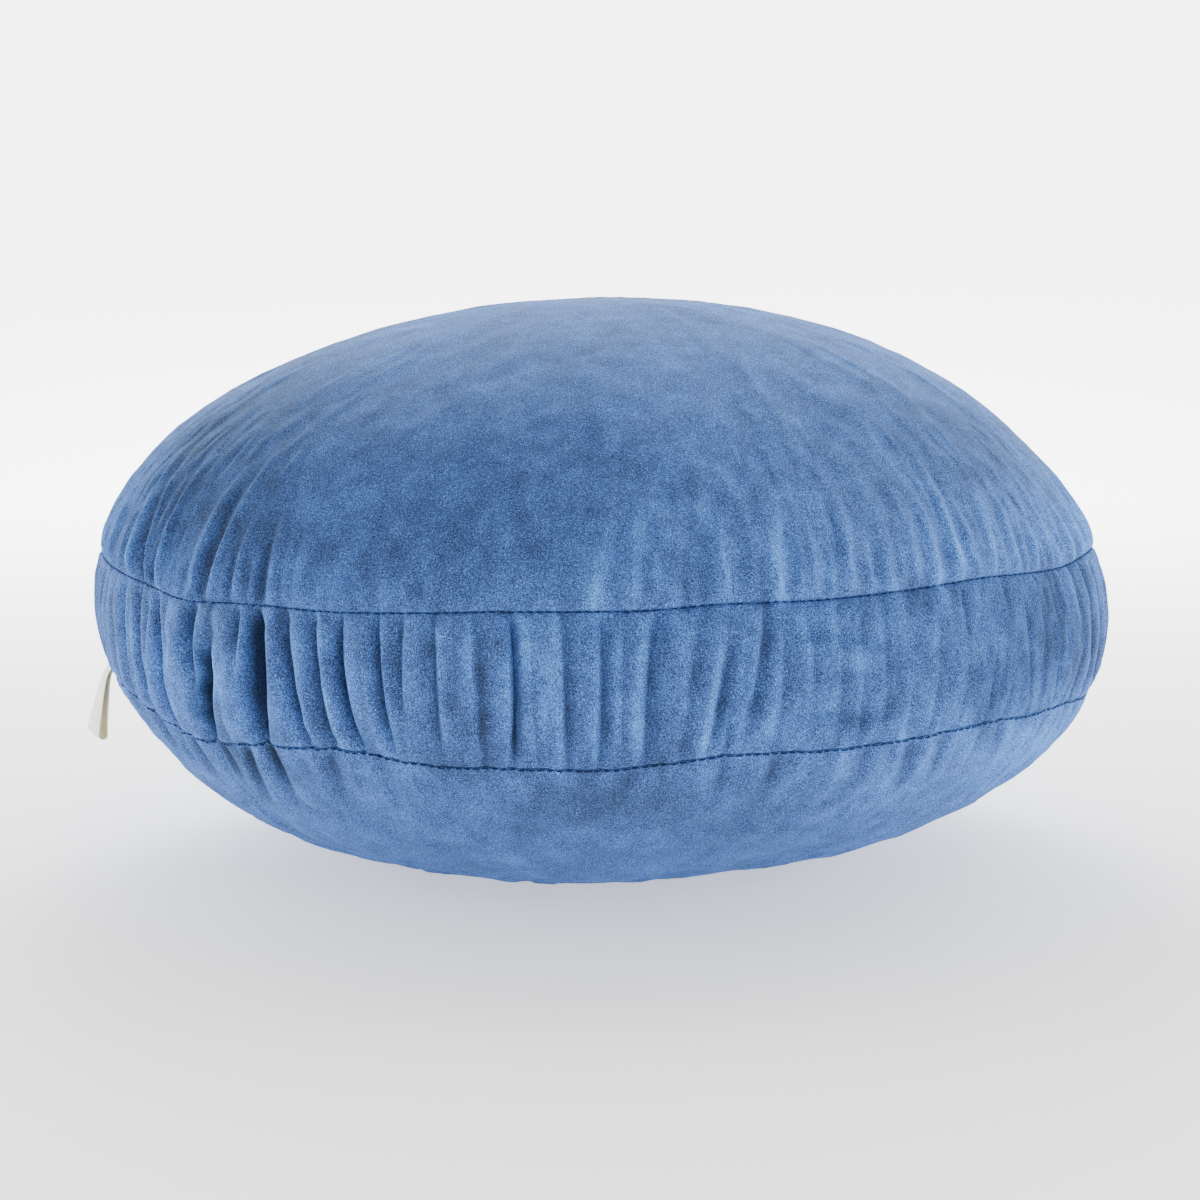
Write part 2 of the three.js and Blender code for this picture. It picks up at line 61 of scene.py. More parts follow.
SEAM_DEPTH = 0.8  # how far a seam draws the surface in
SEAM_SHIFT = {"bottom": -1.6, "top": 0}  # from a seam's height in its table up to its furrow
SEAM_SPREAD = 2  # distance over which the surface rises again
NEEDLE_DEPTH = 0.7  # the sharp bottom of that furrow, where the two cloths meet
NEEDLE_SPREAD = 0.45
SEAM_PINCH = 0.45  # share of a crease's depth that is left near a seam
SEAM_HOLD = 0.7  # share of the rest that the stitching itself takes away, and how far it reaches
HOLD_REACH = 2.5
PUCKER_REACH = 4.5  # how far a pinched crease runs on into the panel
BAND_SWELL = 0.5  # how far the band stands out half way up
GATHER_FADE = 0.25  # share of the band's height over which a short gather dies out
PUFF_ROUNDNESS = 2.8
CREASE_DEPTH = 1.5  # how much deeper than the solid's the deep creases are, and the shallow ones
SHALLOW = 0.5
SHALLOW_TO, DEEP_FROM = 1.2, 4
VALLEY_FROM = 6  # a crease deeper than this has a floor, half as wide as this share of the rest
VALLEY_FLOOR = 0.2
WRINKLE_RISE = 2  # how much higher than in its table a wrinkle stands
WRINKLE_PINCH = 0.15  # share of its height that is left at the seam, and how far from it that shows
PINCH_REACH = 4
RIB_HEIGHT = 0.4  # ripples of the cloth between the folds, and the finer ones on them
THREAD_HEIGHT = 0.22
SCALLOP_HEIGHT = 0.45  # small puckers where the stitches pull each cloth in
SCALLOP_REACH = 4
LUMP_HEIGHT = 0.8  # soft dents that the filling leaves in the panels
LUMP_SIZE = 34


def rows(columns, values):
    """A table whose columns are read by name."""
    return np.array([tuple(row) for row in values], dtype=[(name, float) for name in columns.split()])


# How the filling slumps: level is the height over the widest ring in mm, lean the shift towards +X
# in mm, swell the change in radius in percent
SLUMP = rows("level lean swell", [
    (-100, -8.5, -0.9),
    (-80, -2, -0.6),
    (-50, 2.7, -1.5),
    (-20, 1.7, -0.6),
    (10, 0, -0.4),
    (40, -1.8, -0.1),
    (70, -2.2, 0.8),
    (100, 1.6, 1.3),
    (118, 5.4, 1.6),
])

# Heights of the two seams above the floor round the pillow, in mm
SEAMS = rows("at top bottom", [
    (-180, 120.5, 70),
    (-150, 118, 72),
    (-120, 120, 70),
    (-95, 119.5, 73),
    (-72, 119.2, 75),
    (-64, 118.5, 71.5),
    (-58, 117.8, 67.5),
    (-54, 116.8, 64.2),
    (-50, 115.4, 63),
    (-46, 115.3, 64.2),
    (-38, 117.1, 67.4),
    (-28, 117.2, 69.7),
    (-24, 117.7, 69),
    (-17, 118.8, 66.5),
    (-10, 120, 67.3),
    (0, 120.5, 67.4),
    (5, 120.8, 69),
    (12, 122.2, 71.8),
    (23, 122.2, 71.6),
    (32, 123, 72.2),
    (44, 124.1, 74),
    (52, 123, 72.6),
    (61, 122, 72),
    (71, 122.5, 69),
    (95, 119.5, 70),
    (120, 121, 72),
    (150, 118.5, 68),
    (180, 120.5, 70),
])

# Gathers of the band that face the front. top and bottom are the azimuths where a crease meets the
# seams, bow how far it strays from the straight line between them, depth and half its depth and half
# width in mm. It runs from one share of the band's height to another, or without them all the way.
GATHER = "top bottom bow depth half start end"
FRONT_GATHERS = [
    (-77.5, -78.4, 0, 3, 7),
    (-74.3, -75, 0, 2, 6),
    (-71, -72, 0, 2.8, 6),
    (-68, -69, 0, 1.6, 5),
    (-65, -66.6, 0.3, 1.8, 5),
    (-62, -64.2, 1.3, 4.4, 7),
    (-59.8, -62, 1, 1.6, 4),
    (-57.3, -59.8, 0.9, 4.2, 6),
    (-55.4, -57.6, 0.8, 2.4, 4, 0.6, 1),
    (-53.4, -55.4, 1, 5.2, 7),
    (-51.3, -53, 0.6, 2.4, 5, 0.65, 1),
    (-46.4, -50, 0.8, 4.8, 7, 0.45, 1),
    (-43.4, -48.3, 1, 9.5, 8.5, 0, 0.66),
    (-43.2, -47.8, 1, 1.6, 6),
    (-41.2, -44.2, 0.4, 2, 5, 0, 0.3),
    (-39.2, -41.4, 0.3, 3.2, 5, 0.6, 1),
    (-36.9, -38.6, 0.7, 9, 9),
    (-32.8, -32, -0.1, 4.6, 7),
    (-29.4, -28.8, -0.1, 3.9, 6.5),
    (-26.1, -25.2, -0.6, 5.2, 5.5),
    (-24, -23.5, 0, 1, 4),
    (-22.1, -21.7, 0, 4, 4.5, 0.12, 1),
    (-19.4, -20, -0.2, 3, 5, 0.4, 1),
    (-16.2, -16.8, 0.3, 2.6, 4.5, 0.2, 1),
    (-12, -12.3, 0.2, 2.2, 5),
    (-8.7, -9.7, 0.6, 3.6, 4),
    (-6.4, -6.6, 0, 1.2, 3),
    (-3.4, -3.9, 0.1, 2.4, 5),
    (0.3, -0.8, 0.2, 2.8, 5),
    (2.6, 1.4, 0, 1.2, 4),
    (5.7, 4, -0.5, 2.8, 7),
    (9.8, 7.3, 0, 1.8, 6),
    (13.4, 10, -0.2, 2.4, 5.5, 0, 0.8),
    (13.8, 11.6, 0, 2.4, 4.5, 0, 0.3),
    (16.6, 13.2, 0.2, 2.6, 5, 0.25, 1),
    (18.3, 16.4, 0.4, 1.4, 5, 0.2, 1),
    (20.8, 20.4, 0.2, 1.4, 5, 0.4, 1),
    (24, 23.6, 0, 0.8, 5),
    (26.6, 26, 0, 0.8, 4),
    (29.3, 28.6, 0, 0.8, 5),
    (32.9, 31.5, 0, 0.5, 5),
    (36.2, 34.7, 0, 0.6, 5),
    (40, 38.6, 0, 0.4, 5),
    (43.8, 42.8, 0, 0.4, 5),
    (46.5, 46, 0, 0.4, 4),
    (49.4, 49.8, 0, 0.6, 6),
    (52.8, 52.6, 0, 0.4, 5),
    (56, 56, 0, 0.4, 5),
    (59.3, 59.2, 0, 0.6, 5),
    (62.3, 61.8, 0, 1.4, 6),
    (66.2, 66.8, 0, 2, 6),
    (70.4, 70.6, 0, 2, 6),
    (74.2, 74.6, 0, 2, 6),
]

# Wrinkles of the panels that face the front. at is the azimuth where one leaves the seam, lean its
# turn in degrees for each 10 mm away from the seam, height its rise in mm (below zero a furrow),
# half its half width in degrees, reach how far from the seam it dies out.
WRINKLE = "at lean height half reach"
TOP_WRINKLES = [
    (-68.9, -1.3, 1.3, 1.1, 48),
    (-60.2, -0.9, 1.4, 0.9, 62),
    (-56.9, -1.2, -1, 1.2, 60),
    (-56, -1.1, 1.2, 0.6, 62),
    (-54.6, -0.3, -0.8, 0.9, 58),
    (-53.5, -0.3, 1.4, 0.7, 68),
    (-47.1, 0.3, 1, 0.9, 58),
    (-44.9, 0.3, -1.1, 1.2, 56),
    (-43.4, 0.2, 1.3, 0.8, 66),
    (-40.6, 0, -0.6, 0.6, 34),
    (-39.6, 0, 1, 0.6, 36),
    (-36.1, -0.1, -1.3, 0.8, 36),
    (-34.8, -0.2, 1.2, 0.7, 38),
    (-31.4, 0, 0.6, 0.8, 42),
    (-9.5, 0.2, 0.6, 0.9, 34),
    (-0.8, 0.8, 1, 0.9, 36),
    (3.3, 0.4, 0.9, 0.8, 44),
    (12.8, 0.2, 0.8, 0.8, 36),
    (18, 0.5, 1, 0.8, 38),
    (21.8, 0.6, 0.9, 0.7, 34),
    (25.8, 0.7, 1.1, 0.8, 42),
    (30.8, 0.5, 0.8, 0.8, 34),
    (34.3, 0.5, 1, 0.8, 42),
    (37, 0.6, 1.1, 0.7, 40),
    (40.4, 0.6, 1.3, 0.8, 56),
    (45.6, 1.1, 1.2, 0.8, 42),
    (49.8, 0.9, 1.2, 0.8, 40),
    (54, 1.1, 1.3, 0.8, 42),
    (57.7, 0.9, 1.1, 0.8, 38),
    (61.4, 0.8, 1, 0.9, 34),
    (64.8, 0.3, 1.3, 0.9, 34),
    (69.5, 0.2, 1, 1.1, 32),
    (74, 0, 1, 1.1, 34),
]
BOTTOM_WRINKLES = [
    (-66, -0.6, -1, 1.2, 26),
    (-59.6, -0.6, -1.6, 1.1, 24),
    (-56.2, -0.6, -1.4, 0.9, 26),
    (-53, -0.5, -1.8, 1, 26),
    (-47.2, 0.2, -2.2, 1.2, 22),
    (-42.3, -0.7, -2, 1.1, 34),
    (-38.4, -0.3, -2.3, 1.1, 30),
    (-29.9, -0.4, -1.3, 1.1, 26),
    (2.4, -0.9, -0.9, 1.1, 24),
    (11.8, -0.2, -1.1, 0.9, 24),
    (17.3, -0.4, -1.3, 0.9, 24),
    (27.4, 0, -1.3, 0.8, 22),
    (33, 0.1, -1.2, 0.8, 24),
    (37.3, 0.1, -1.2, 0.8, 24),
    (46.2, 0.2, -1.1, 0.9, 22),
    (56, 0.3, -1, 1, 22),
    (67, 0.4, -1, 1.2, 22),
]

# Fine wrinkles of the panels, too small to be felt: thin threads of raised pile between the others
FINE_TOP_WRINKLES = [
    (-65, 0, 0.7, 0.7, 30),
    (-60.3, -0.5, 0.7, 0.6, 46),
    (-51, 0, 0.7, 0.5, 18),
    (-49.4, 0, 0.7, 0.5, 18),
    (-41.6, 0.1, 0.9, 0.5, 24),
    (-37.5, 0, 0.9, 0.5, 24),
    (-32.8, -0.2, 0.7, 0.6, 28),
    (-27, 0.1, 0.4, 0.7, 30),
    (-21.5, 0, 0.4, 0.8, 34),
    (-14.6, 0.1, 0.4, 0.8, 30),
    (5.6, 0.3, 0.5, 0.6, 32),
    (8.6, 0.3, -0.5, 0.7, 30),
    (15.4, 0.4, 0.5, 0.6, 28),
    (20.2, 0.5, 0.6, 0.6, 26),
    (23.8, 0.5, 0.7, 0.6, 30),
    (28.4, 0.5, 0.6, 0.6, 34),
    (32.5, 0.5, 0.6, 0.6, 30),
    (43.5, 0.4, 0.6, 0.6, 32),
    (47.6, 0.9, 0.6, 0.6, 34),
    (51.7, 0.9, 0.9, 0.6, 34),
    (55.9, 1, 0.6, 0.5, 30),
    (59.6, 0.9, 0.6, 0.5, 30),
    (68.5, 0.3, 0.7, 0.7, 26),
    (71, 0.2, 0.7, 0.7, 26),
]
FINE_BOTTOM_WRINKLES = [
    (-63, -0.6, -0.7, 0.8, 20),
    (-44.4, -0.3, -1, 0.7, 16),
    (-33.5, -0.3, -0.7, 0.8, 20),
    (-23.5, -0.2, -0.5, 0.9, 22),
    (14.5, -0.3, -0.8, 0.7, 18),
    (19, -0.3, -1, 0.7, 12),
    (24.3, -0.1, 0.8, 0.8, 22),
    (30.6, 0, -0.8, 0.7, 20),
    (34.9, 0.1, 0.7, 0.7, 20),
    (41.4, 0.2, 0.8, 0.8, 22),
    (52, 0.3, 0.8, 0.8, 20),
    (53.8, 0.3, 0.6, 0.6, 18),
    (62, 0.4, -0.8, 0.9, 20),
]

# The back, which is finished plainly: gathers and wrinkles at uneven steps, each value drawn between
# two limits, azimuths in degrees and lengths in mm
BACK_FROM, BACK_TO = 78, 278.4
BACK_SEED = 7
DEEP_SHARE = 0.35  # of the back's gathers, and the share that run from seam to seam
WHOLE_SHARE = 0.7


def stream(seed):
    """One repeatable run of numbers between 0 and 1."""
    factor, wrap_at = 16807, 2 ** 31 - 1
    while True:
        seed = seed * factor % wrap_at
        yield seed / wrap_at


chance = stream(BACK_SEED)


def between(low, high):
    """The next chance value between two limits."""
    return low + (high - low) * next(chance)


def back_gathers():
    found = []
    at = BACK_FROM
    while at < BACK_TO:
        deep = next(chance) < DEEP_SHARE
        whole = next(chance) < WHOLE_SHARE
        top = at + between(-0.5, 0.5)
        bottom = at + between(-1, 1)
        bow = between(-0.5, 0.5)
        depth = between(3.4, 5) if deep else between(1.5, 3.2)
        half = between(6, 8) if deep else between(4, 6)
        start = 0 if whole else between(0, 0.4)
        end = 1 if whole else between(0.7, 1)
        found.append((top, bottom, bow, depth, half, start, end))
        at += between(3.6, 5.6)
    return found


def back_wrinkles(height, reach):
    found = []
    at = BACK_FROM
    while at < BACK_TO:
        lean = between(-0.5, 0.5)
        rise = between(*height)
        half = between(0.8, 1.1)
        found.append((at, lean, rise, half, between(*reach)))
        at += between(3.4, 6)
    return found


GATHERS = rows(GATHER, [(*gather, 0, 1)[:7] for gather in FRONT_GATHERS] + back_gathers())
CREASE_SLANT = 0.35  # sideways push for each mm of depth, up to a limit in mm
MOST_SLANT = 1.6
TURN_OVER = -12  # left of this azimuth each puff lies over the one at its left, past it the other way
FOLDS_OVER = np.where(GATHERS["top"] < TURN_OVER, 1, -1)
TOP_FOLDS = rows(WRINKLE, TOP_WRINKLES + back_wrinkles((0.7, 1.3), (30, 55)) + FINE_TOP_WRINKLES)
BOTTOM_FOLDS = rows(WRINKLE, BOTTOM_WRINKLES + back_wrinkles((-1.6, -0.8), (18, 34)) + FINE_BOTTOM_WRINKLES)


def through(keys, values, x):
    """The smooth curve through a table's points."""
    last = len(keys) - 1
    before = np.maximum(np.arange(last + 1) - 1, 0)
    after = np.minimum(np.arange(last + 1) + 1, last)
    slope = (values[after] - values[before]) / (keys[after] - keys[before])
    i = np.clip(np.searchsorted(keys, x) - 1, 0, last - 1)
    span = keys[i + 1] - keys[i]
    t = np.clip((x - keys[i]) / span, 0, 1)
    blend = t * t * (3 - 2 * t)
    leave = t * (1 - t) ** 2 * span * slope[i]
    arrive = t * t * (t - 1) * span * slope[i + 1]
    return values[i] * (1 - blend) + values[i + 1] * blend + leave + arrive


def smooth_step(x, low, high):
    """0 up to low, 1 from high on, and a soft climb between them."""
    t = np.clip((x - low) / (high - low), 0, 1)
    return t * t * (3 - 2 * t)


def wrap(angle):
    """The same angle between -180 and 180 degrees."""
    return angle - 360 * np.round(angle / 360)


def make_outline():
    """One side's outline, from the middle of the flat patch out, up and in to the crown."""
    turn = np.linspace(-1, 1, 2 * OUTLINE_STEPS + 1) * math.pi / 2
    below = turn < 0
    power = 2 / np.where(below, BELLY_POWER, CROWN_POWER)
    radius = RADIUS * np.clip(np.cos(turn), 0, None) ** power
    level = np.sign(turn) * np.where(below, BELLY_DROP, CROWN_RISE) * np.abs(np.sin(turn)) ** power
    kept = level > -RING_HEIGHT
    radius = np.concatenate([[0, PATCH_RADIUS], radius[kept]])
    level = np.concatenate([[-RING_HEIGHT, -RING_HEIGHT], level[kept]])
    arc = np.concatenate([[0], np.cumsum(np.hypot(np.diff(radius), np.diff(level)))])
    arc -= np.interp(0, level, arc)
    along, up = np.gradient(radius), np.gradient(level)
    length = np.hypot(along, up)
    return {"radius": radius, "level": level, "arc": arc, "out_x": up / length, "out_z": -along / length}


OUTLINE = make_outline()
ARC_MIDDLE, ARC_PATCH = OUTLINE["arc"][:2]
ARC_CROWN = OUTLINE["arc"][-1]


def body_point(azimuth, arc, offset):
    """A point of the cover at an azimuth and an arc along the outline, offset out of the cloth."""
    side = {name: np.interp(arc, OUTLINE["arc"], OUTLINE[name]) for name in OUTLINE}
    lean = through(SLUMP["level"], SLUMP["lean"], side["level"])
    swell = through(SLUMP["level"], SLUMP["swell"], side["level"]) / 100
    radius = side["radius"] * (1 + swell) + side["out_x"] * offset
    turn = np.radians(azimuth)
    height = np.maximum(RING_HEIGHT + side["level"] + side["out_z"] * offset, 0)
    return np.stack([radius * np.sin(turn) + lean, -radius * np.cos(turn), height], axis=-1)


def seam_arc(azimuth, seam):
    """Where along the outline a seam lies."""
    level = through(SEAMS["at"], SEAMS[seam], wrap(azimuth)) - RING_HEIGHT
    return np.interp(level, OUTLINE["level"][1:], OUTLINE["arc"][1:]) + SEAM_SHIFT[seam]


def crease_azimuth(gather, share):
    """Where a crease lies at a share of the way up the band."""
    straight = gather["bottom"] + (gather["top"] - gather["bottom"]) * share
    return straight + gather["bow"] * 4 * share * (1 - share)


def seam_hold(distance):
    """Share of a fold's height that the stitching leaves at a distance from it."""
    return 1 - SEAM_HOLD * np.exp(-distance / HOLD_REACH)


# Beside a crease, painted shade is laid on one side and a painted highlight on the other, over these
# shares of the crease's half width. It shows most at creases of middling depth, in mm.
SHADE_REACH = 0.55
SHADE_STEEP = 0.4  # share of that reach on the side that the puff hangs over
LIT_REACH = 0.55
LIT_SPREAD = 0.6
LIT_SHARE = 0.6
CLEAREST = 2.5


def band_creases(azimuth, share, height):
    """Depth of the band's creases under its outline, how far the bottom of each one is pushed
    sideways, under the puff that folds over it, and the painted shade and highlight it lays beside it."""
    sag = np.zeros_like(azimuth)
    slide = np.zeros_like(azimuth)
    shade = np.zeros_like(azimuth)
    pinch = SEAM_PINCH + (1 - SEAM_PINCH) * np.sqrt(np.sin(math.pi * np.clip(share, 0, 1)))
    pinch *= seam_hold(height * np.minimum(share, 1 - share))
    for gather, side in zip(GATHERS, FOLDS_OVER):
        strength = pinch
        start, end = gather["start"], gather["end"]
        if start > 0:
            strength = strength * smooth_step(share, start - GATHER_FADE, start + GATHER_FADE)
        if end < 1:
            strength = strength * (1 - smooth_step(share, end - GATHER_FADE, end + GATHER_FADE))
        sharp = SHALLOW + (CREASE_DEPTH - SHALLOW) * smooth_step(gather["depth"], SHALLOW_TO, DEEP_FROM)
        depth = sharp * gather["depth"] * strength
        slant = side * MOST_SLANT * np.tanh(CREASE_SLANT * depth / MOST_SLANT)
        across = np.radians(wrap(azimuth - crease_azimuth(gather, share))) * RADIUS + slant
        away = np.maximum(np.abs(across) - VALLEY_FLOOR * np.maximum(depth - VALLEY_FROM, 0), 0)
        profile = np.maximum(1 - away / gather["half"], 0) ** PUFF_ROUNDNESS
        sag += depth * profile
        slide += slant * profile
        # Painted shade beside the crease, and a painted highlight on the puff that hangs over it
        wide = np.where(across * side < 0, 1, SHADE_STEEP) * SHADE_REACH * gather["half"]
        painted_highlight = np.exp(-((across * side / gather["half"] / LIT_REACH - 1) / LIT_SPREAD) ** 2)
        plain = min(gather["depth"] / CLEAREST, (CLEAREST / gather["depth"]) ** 0.5)
        shade += plain * strength * (np.exp(-((across / wide) ** 2)) - LIT_SHARE * painted_highlight)
    return sag, slide, shade


def panel_rise(folds, azimuth, from_seam, on_panel):
    """Height of a panel's wrinkles, which run on a little past its seam."""
    rise = np.zeros_like(azimuth)
    distance = np.where(on_panel, from_seam, 0)
    pinch = WRINKLE_PINCH + (1 - WRINKLE_PINCH) * (1 - np.exp(-distance / PINCH_REACH))
    for fold in folds:
        across = wrap(azimuth - fold["at"] - fold["lean"] * distance / 10) / fold["half"]
        fade = np.maximum(1 - distance / fold["reach"], 0)
        rise += WRINKLE_RISE * fold["height"] * pinch * fade * np.exp(-across * across)
    return rise * np.where(on_panel, 1, np.exp(-from_seam / PUCKER_REACH))


def draw_in(distance):
    """How far a seam draws the surface in at a distance from it, as a height below zero."""
    wide = SEAM_DEPTH * np.exp(-distance / SEAM_SPREAD)
    return -wide - NEEDLE_DEPTH * np.exp(-((distance / NEEDLE_SPREAD) ** 2))


# Ripples of the cloth between the folds, from seeded lattices of heights: the degrees between the
# ripples of each kind, how many mm they run, and their layer
RIPPLE_SEED = 11
LATTICE_ROWS = 64
RIPPLE_START = 24  # row at the widest ring
RIBS = (2.1, 34, 0)
THREADS = (1.1, 20, 1)
SCALLOPS = (1, 40, 2)
STREAKS = ((1.4, 9, 3), (0.7, 14, 4), (3, 30, 5))
GATHERED = 0.8  # share of the ripples that is left on the panels, and how far from a seam they fade
GATHERED_REACH = 30
LUMPS_CLEAR = 25  # how far from a seam the lumps grow
PATCH_RIM = 30  # width round the flat patch over which the relief grows


def lattice(across, up, columns, layer):
    """Smooth values between -1 and 1, one at each whole number, that repeat after some columns."""
    heights = np.random.default_rng(RIPPLE_SEED + layer).uniform(-1, 1, (columns, LATTICE_ROWS))
    i, j = np.floor(across).astype(int), np.floor(up).astype(int)
    s, t = across - i, up - j
    s, t = s * s * (3 - 2 * s), t * t * (3 - 2 * t)
    left, right = i % columns, (i + 1) % columns
    below, above = j % LATTICE_ROWS, (j + 1) % LATTICE_ROWS
    low = heights[left, below] * (1 - s) + heights[right, below] * s
    high = heights[left, above] * (1 - s) + heights[right, above] * s
    return low * (1 - t) + high * t


def ribs(fold, arc, pitch, run, layer):
    """Long ripples that run with the folds."""
    columns = round(360 / pitch)
    return lattice((fold % 360) / 360 * columns, arc / run + RIPPLE_START, columns, layer)


# Marks that leave the cloth paler or darker, partly pile brushed another way and partly painted light
# and shade: azimuth and arc of each mark, its half width in degrees and half height in mm, how much
# paler (above zero) or darker it leaves the cloth, and how much painted shade it lays on, along the
# flanks of deep creases and towards the cover's sides, from 0 to 1
TONE_AND_SHADE_MARKS = rows("at arc wide high tone foot", [
    (-63, 88, 10, 28, -0.8, 0.34),
    (-50, 109, 14, 20, -0.8, 0.22),
    (-52, 58, 13, 30, -1.2, 0.22),
    (-33, 75, 12, 30, -0.5, 0),
    (-45, 44, 12, 12, -1.8, 0),
    (-25, 44, 12, 12, -1.6, 0),
    (-13, 46, 8, 10, -0.8, 0),
    (-3, 74, 8, 20, -0.8, 0),
    (47, 92, 15, 30, -0.4, 0.12),
    (50, 66, 14, 40, -0.8, 0.14),
    (64, 93, 9, 24, -0.4, 0.33),
    (-47.4, 11, 1.1, 8, -0.6, 0.6),
    (-48.2, -1, 1, 8, 0, 0.36),
    (-43.3, 9, 0.8, 7, 0, 0.6),
    (-39.8, 10, 0.6, 7, 0, 0.4),
    (-51, -10, 3, 20, 1.6, 0),
    (-57, -6, 7, 16, 1.8, 0),
    (-45.5, -4, 0.9, 10, 0, 0.7),
    (-47, -18, 0.8, 8, 0, 0.7),
    (-48.2, -28, 0.8, 6, 0, 0.75),
    (-38.1, 8, 0.6, 8, 0, 0.2),
    (-38.5, -6, 0.6, 12, 0, 0.3),
    (-39.1, -20, 0.6, 8, 0, 0.35),
    (-40, -6, 2.2, 16, 2.4, 0),
    (-32, 0, 6, 20, 1.8, 0),
    (-23, -4, 4, 14, 1.4, 0),
    (-15, -2, 2.6, 20, -1.4, 0),
    (-8, -4, 3.5, 16, 1.4, 0),
    (-2, 0, 9, 30, 1.6, 0),
    (9, 0, 5, 30, 1.2, 0),
    (11.4, -8, 1, 14, -1, 0.3),
    (14.4, -4, 1, 12, -0.6, 0.2),
    (24, 0, 9, 30, 0.8, 0),
    (33, 12, 8, 8, 1.4, 0),
    (42, -14, 5, 9, -0.8, 0.05),
    (51, -8, 12, 24, -0.6, 0.33),
    (64, 4, 7, 22, 0, 0.22),
    (51, 12, 2.5, 8, 0, 0.25),
    (58, 12, 4, 10, 0, 0.12),
    (28, -60, 5, 14, 1.4, 0),
    (0, -44, 10, 14, -2, 0),
    (-1, -57, 16, 16, -1.2, 0),
    (20, -52, 8, 16, -0.8, 0),
    (42, -40, 14, 16, 1.2, 0),
    (58, -43, 13, 20, 4, 0),
    (22, 12, 2.4, 1.8, -1.6, 0.3),
    (26, 10, 2.2, 1.6, -1.6, 0.25),
    (28.2, 6.5, 1.3, 1.8, -1.6, 0.25),
    (22.4, 6.5, 1, 2.4, -1.2, 0.2),
    (25, -2, 3, 1.6, -1.2, 0.2),
    (21.5, -15.5, 2.6, 1.6, -1.6, 0.3),
    (25.8, -17.5, 2.4, 2.2, -1.4, 0.25),
    (30, -14, 1.6, 3, -1, 0.15),
    (36, 1, 0.8, 3, -1, 0.25),
    (40.5, -6, 1.6, 2.4, -1, 0.2),
])


def marks_of_tone_and_shade(azimuth, arc):
    """How much paler the marks leave the cloth, and how much painted shade they lay on it."""
    tone = np.zeros_like(azimuth)
    foot = np.zeros_like(azimuth)
    for mark in TONE_AND_SHADE_MARKS:
        far = (wrap(azimuth - mark["at"]) / mark["wide"]) ** 2 + ((arc - mark["arc"]) / mark["high"]) ** 2
        tone += mark["tone"] * np.exp(-far)
        foot = 1 - (1 - foot) * (1 - mark["foot"] * np.exp(-far))
    return tone, foot


# How much each mm of relief pales the colour, a painted highlight on raised cloth and painted shade in
# its hollows: the wrinkles of each panel, the ripples and the scallops. Then the streaks along the
# folds, and how much the painted shade beside a crease darkens it.
TOP_TONE, BOTTOM_TONE, RIPPLE_TONE, SCALLOP_TONE = 2.3, 2.6, 2.4, 2.5
STREAK_TONE = 1.2
SHADE_TONE = 4.2
# Painted shade: depths between which a crease, and a panel's furrow, is darkened, and how dark each
# becomes, up to 1
CREASE_DARK = {"low": 1.5, "high": 7.5}
CREASE_DARKEST = 0.88
FURROW_DARK = {"low": 0.8, "high": 3.5}
FURROW_DARKEST = 0.6
# How dark the bottom of each seam's furrow is, and its half width
SEAM_DARKEST = {"top": 0.4, "bottom": 0.7}
SEAM_DARK_HALF = {"top": 0.25, "bottom": 0.3}


# A place on the cover is an azimuth, the azimuth its fold has half way up the band, and a reach: the
# share of the way up the band, or below 0 and above 1 the share of the way to the bottom's middle
# or the crown
def where_on_cover(azimuth, reach):
    """The arc of each place and how far it is from both seams, its share of the way up the band and
    the band's height there."""
    bottom, top = seam_arc(azimuth, "bottom"), seam_arc(azimuth, "top")
    share = np.clip(reach, 0, 1)
    arc = bottom + (top - bottom) * share
    arc = arc + (ARC_CROWN - top) * np.maximum(reach - 1, 0) - (bottom - ARC_MIDDLE) * np.maximum(-reach, 0)
    return arc, {"top": np.abs(arc - top), "bottom": np.abs(arc - bottom)}, share, top - bottom


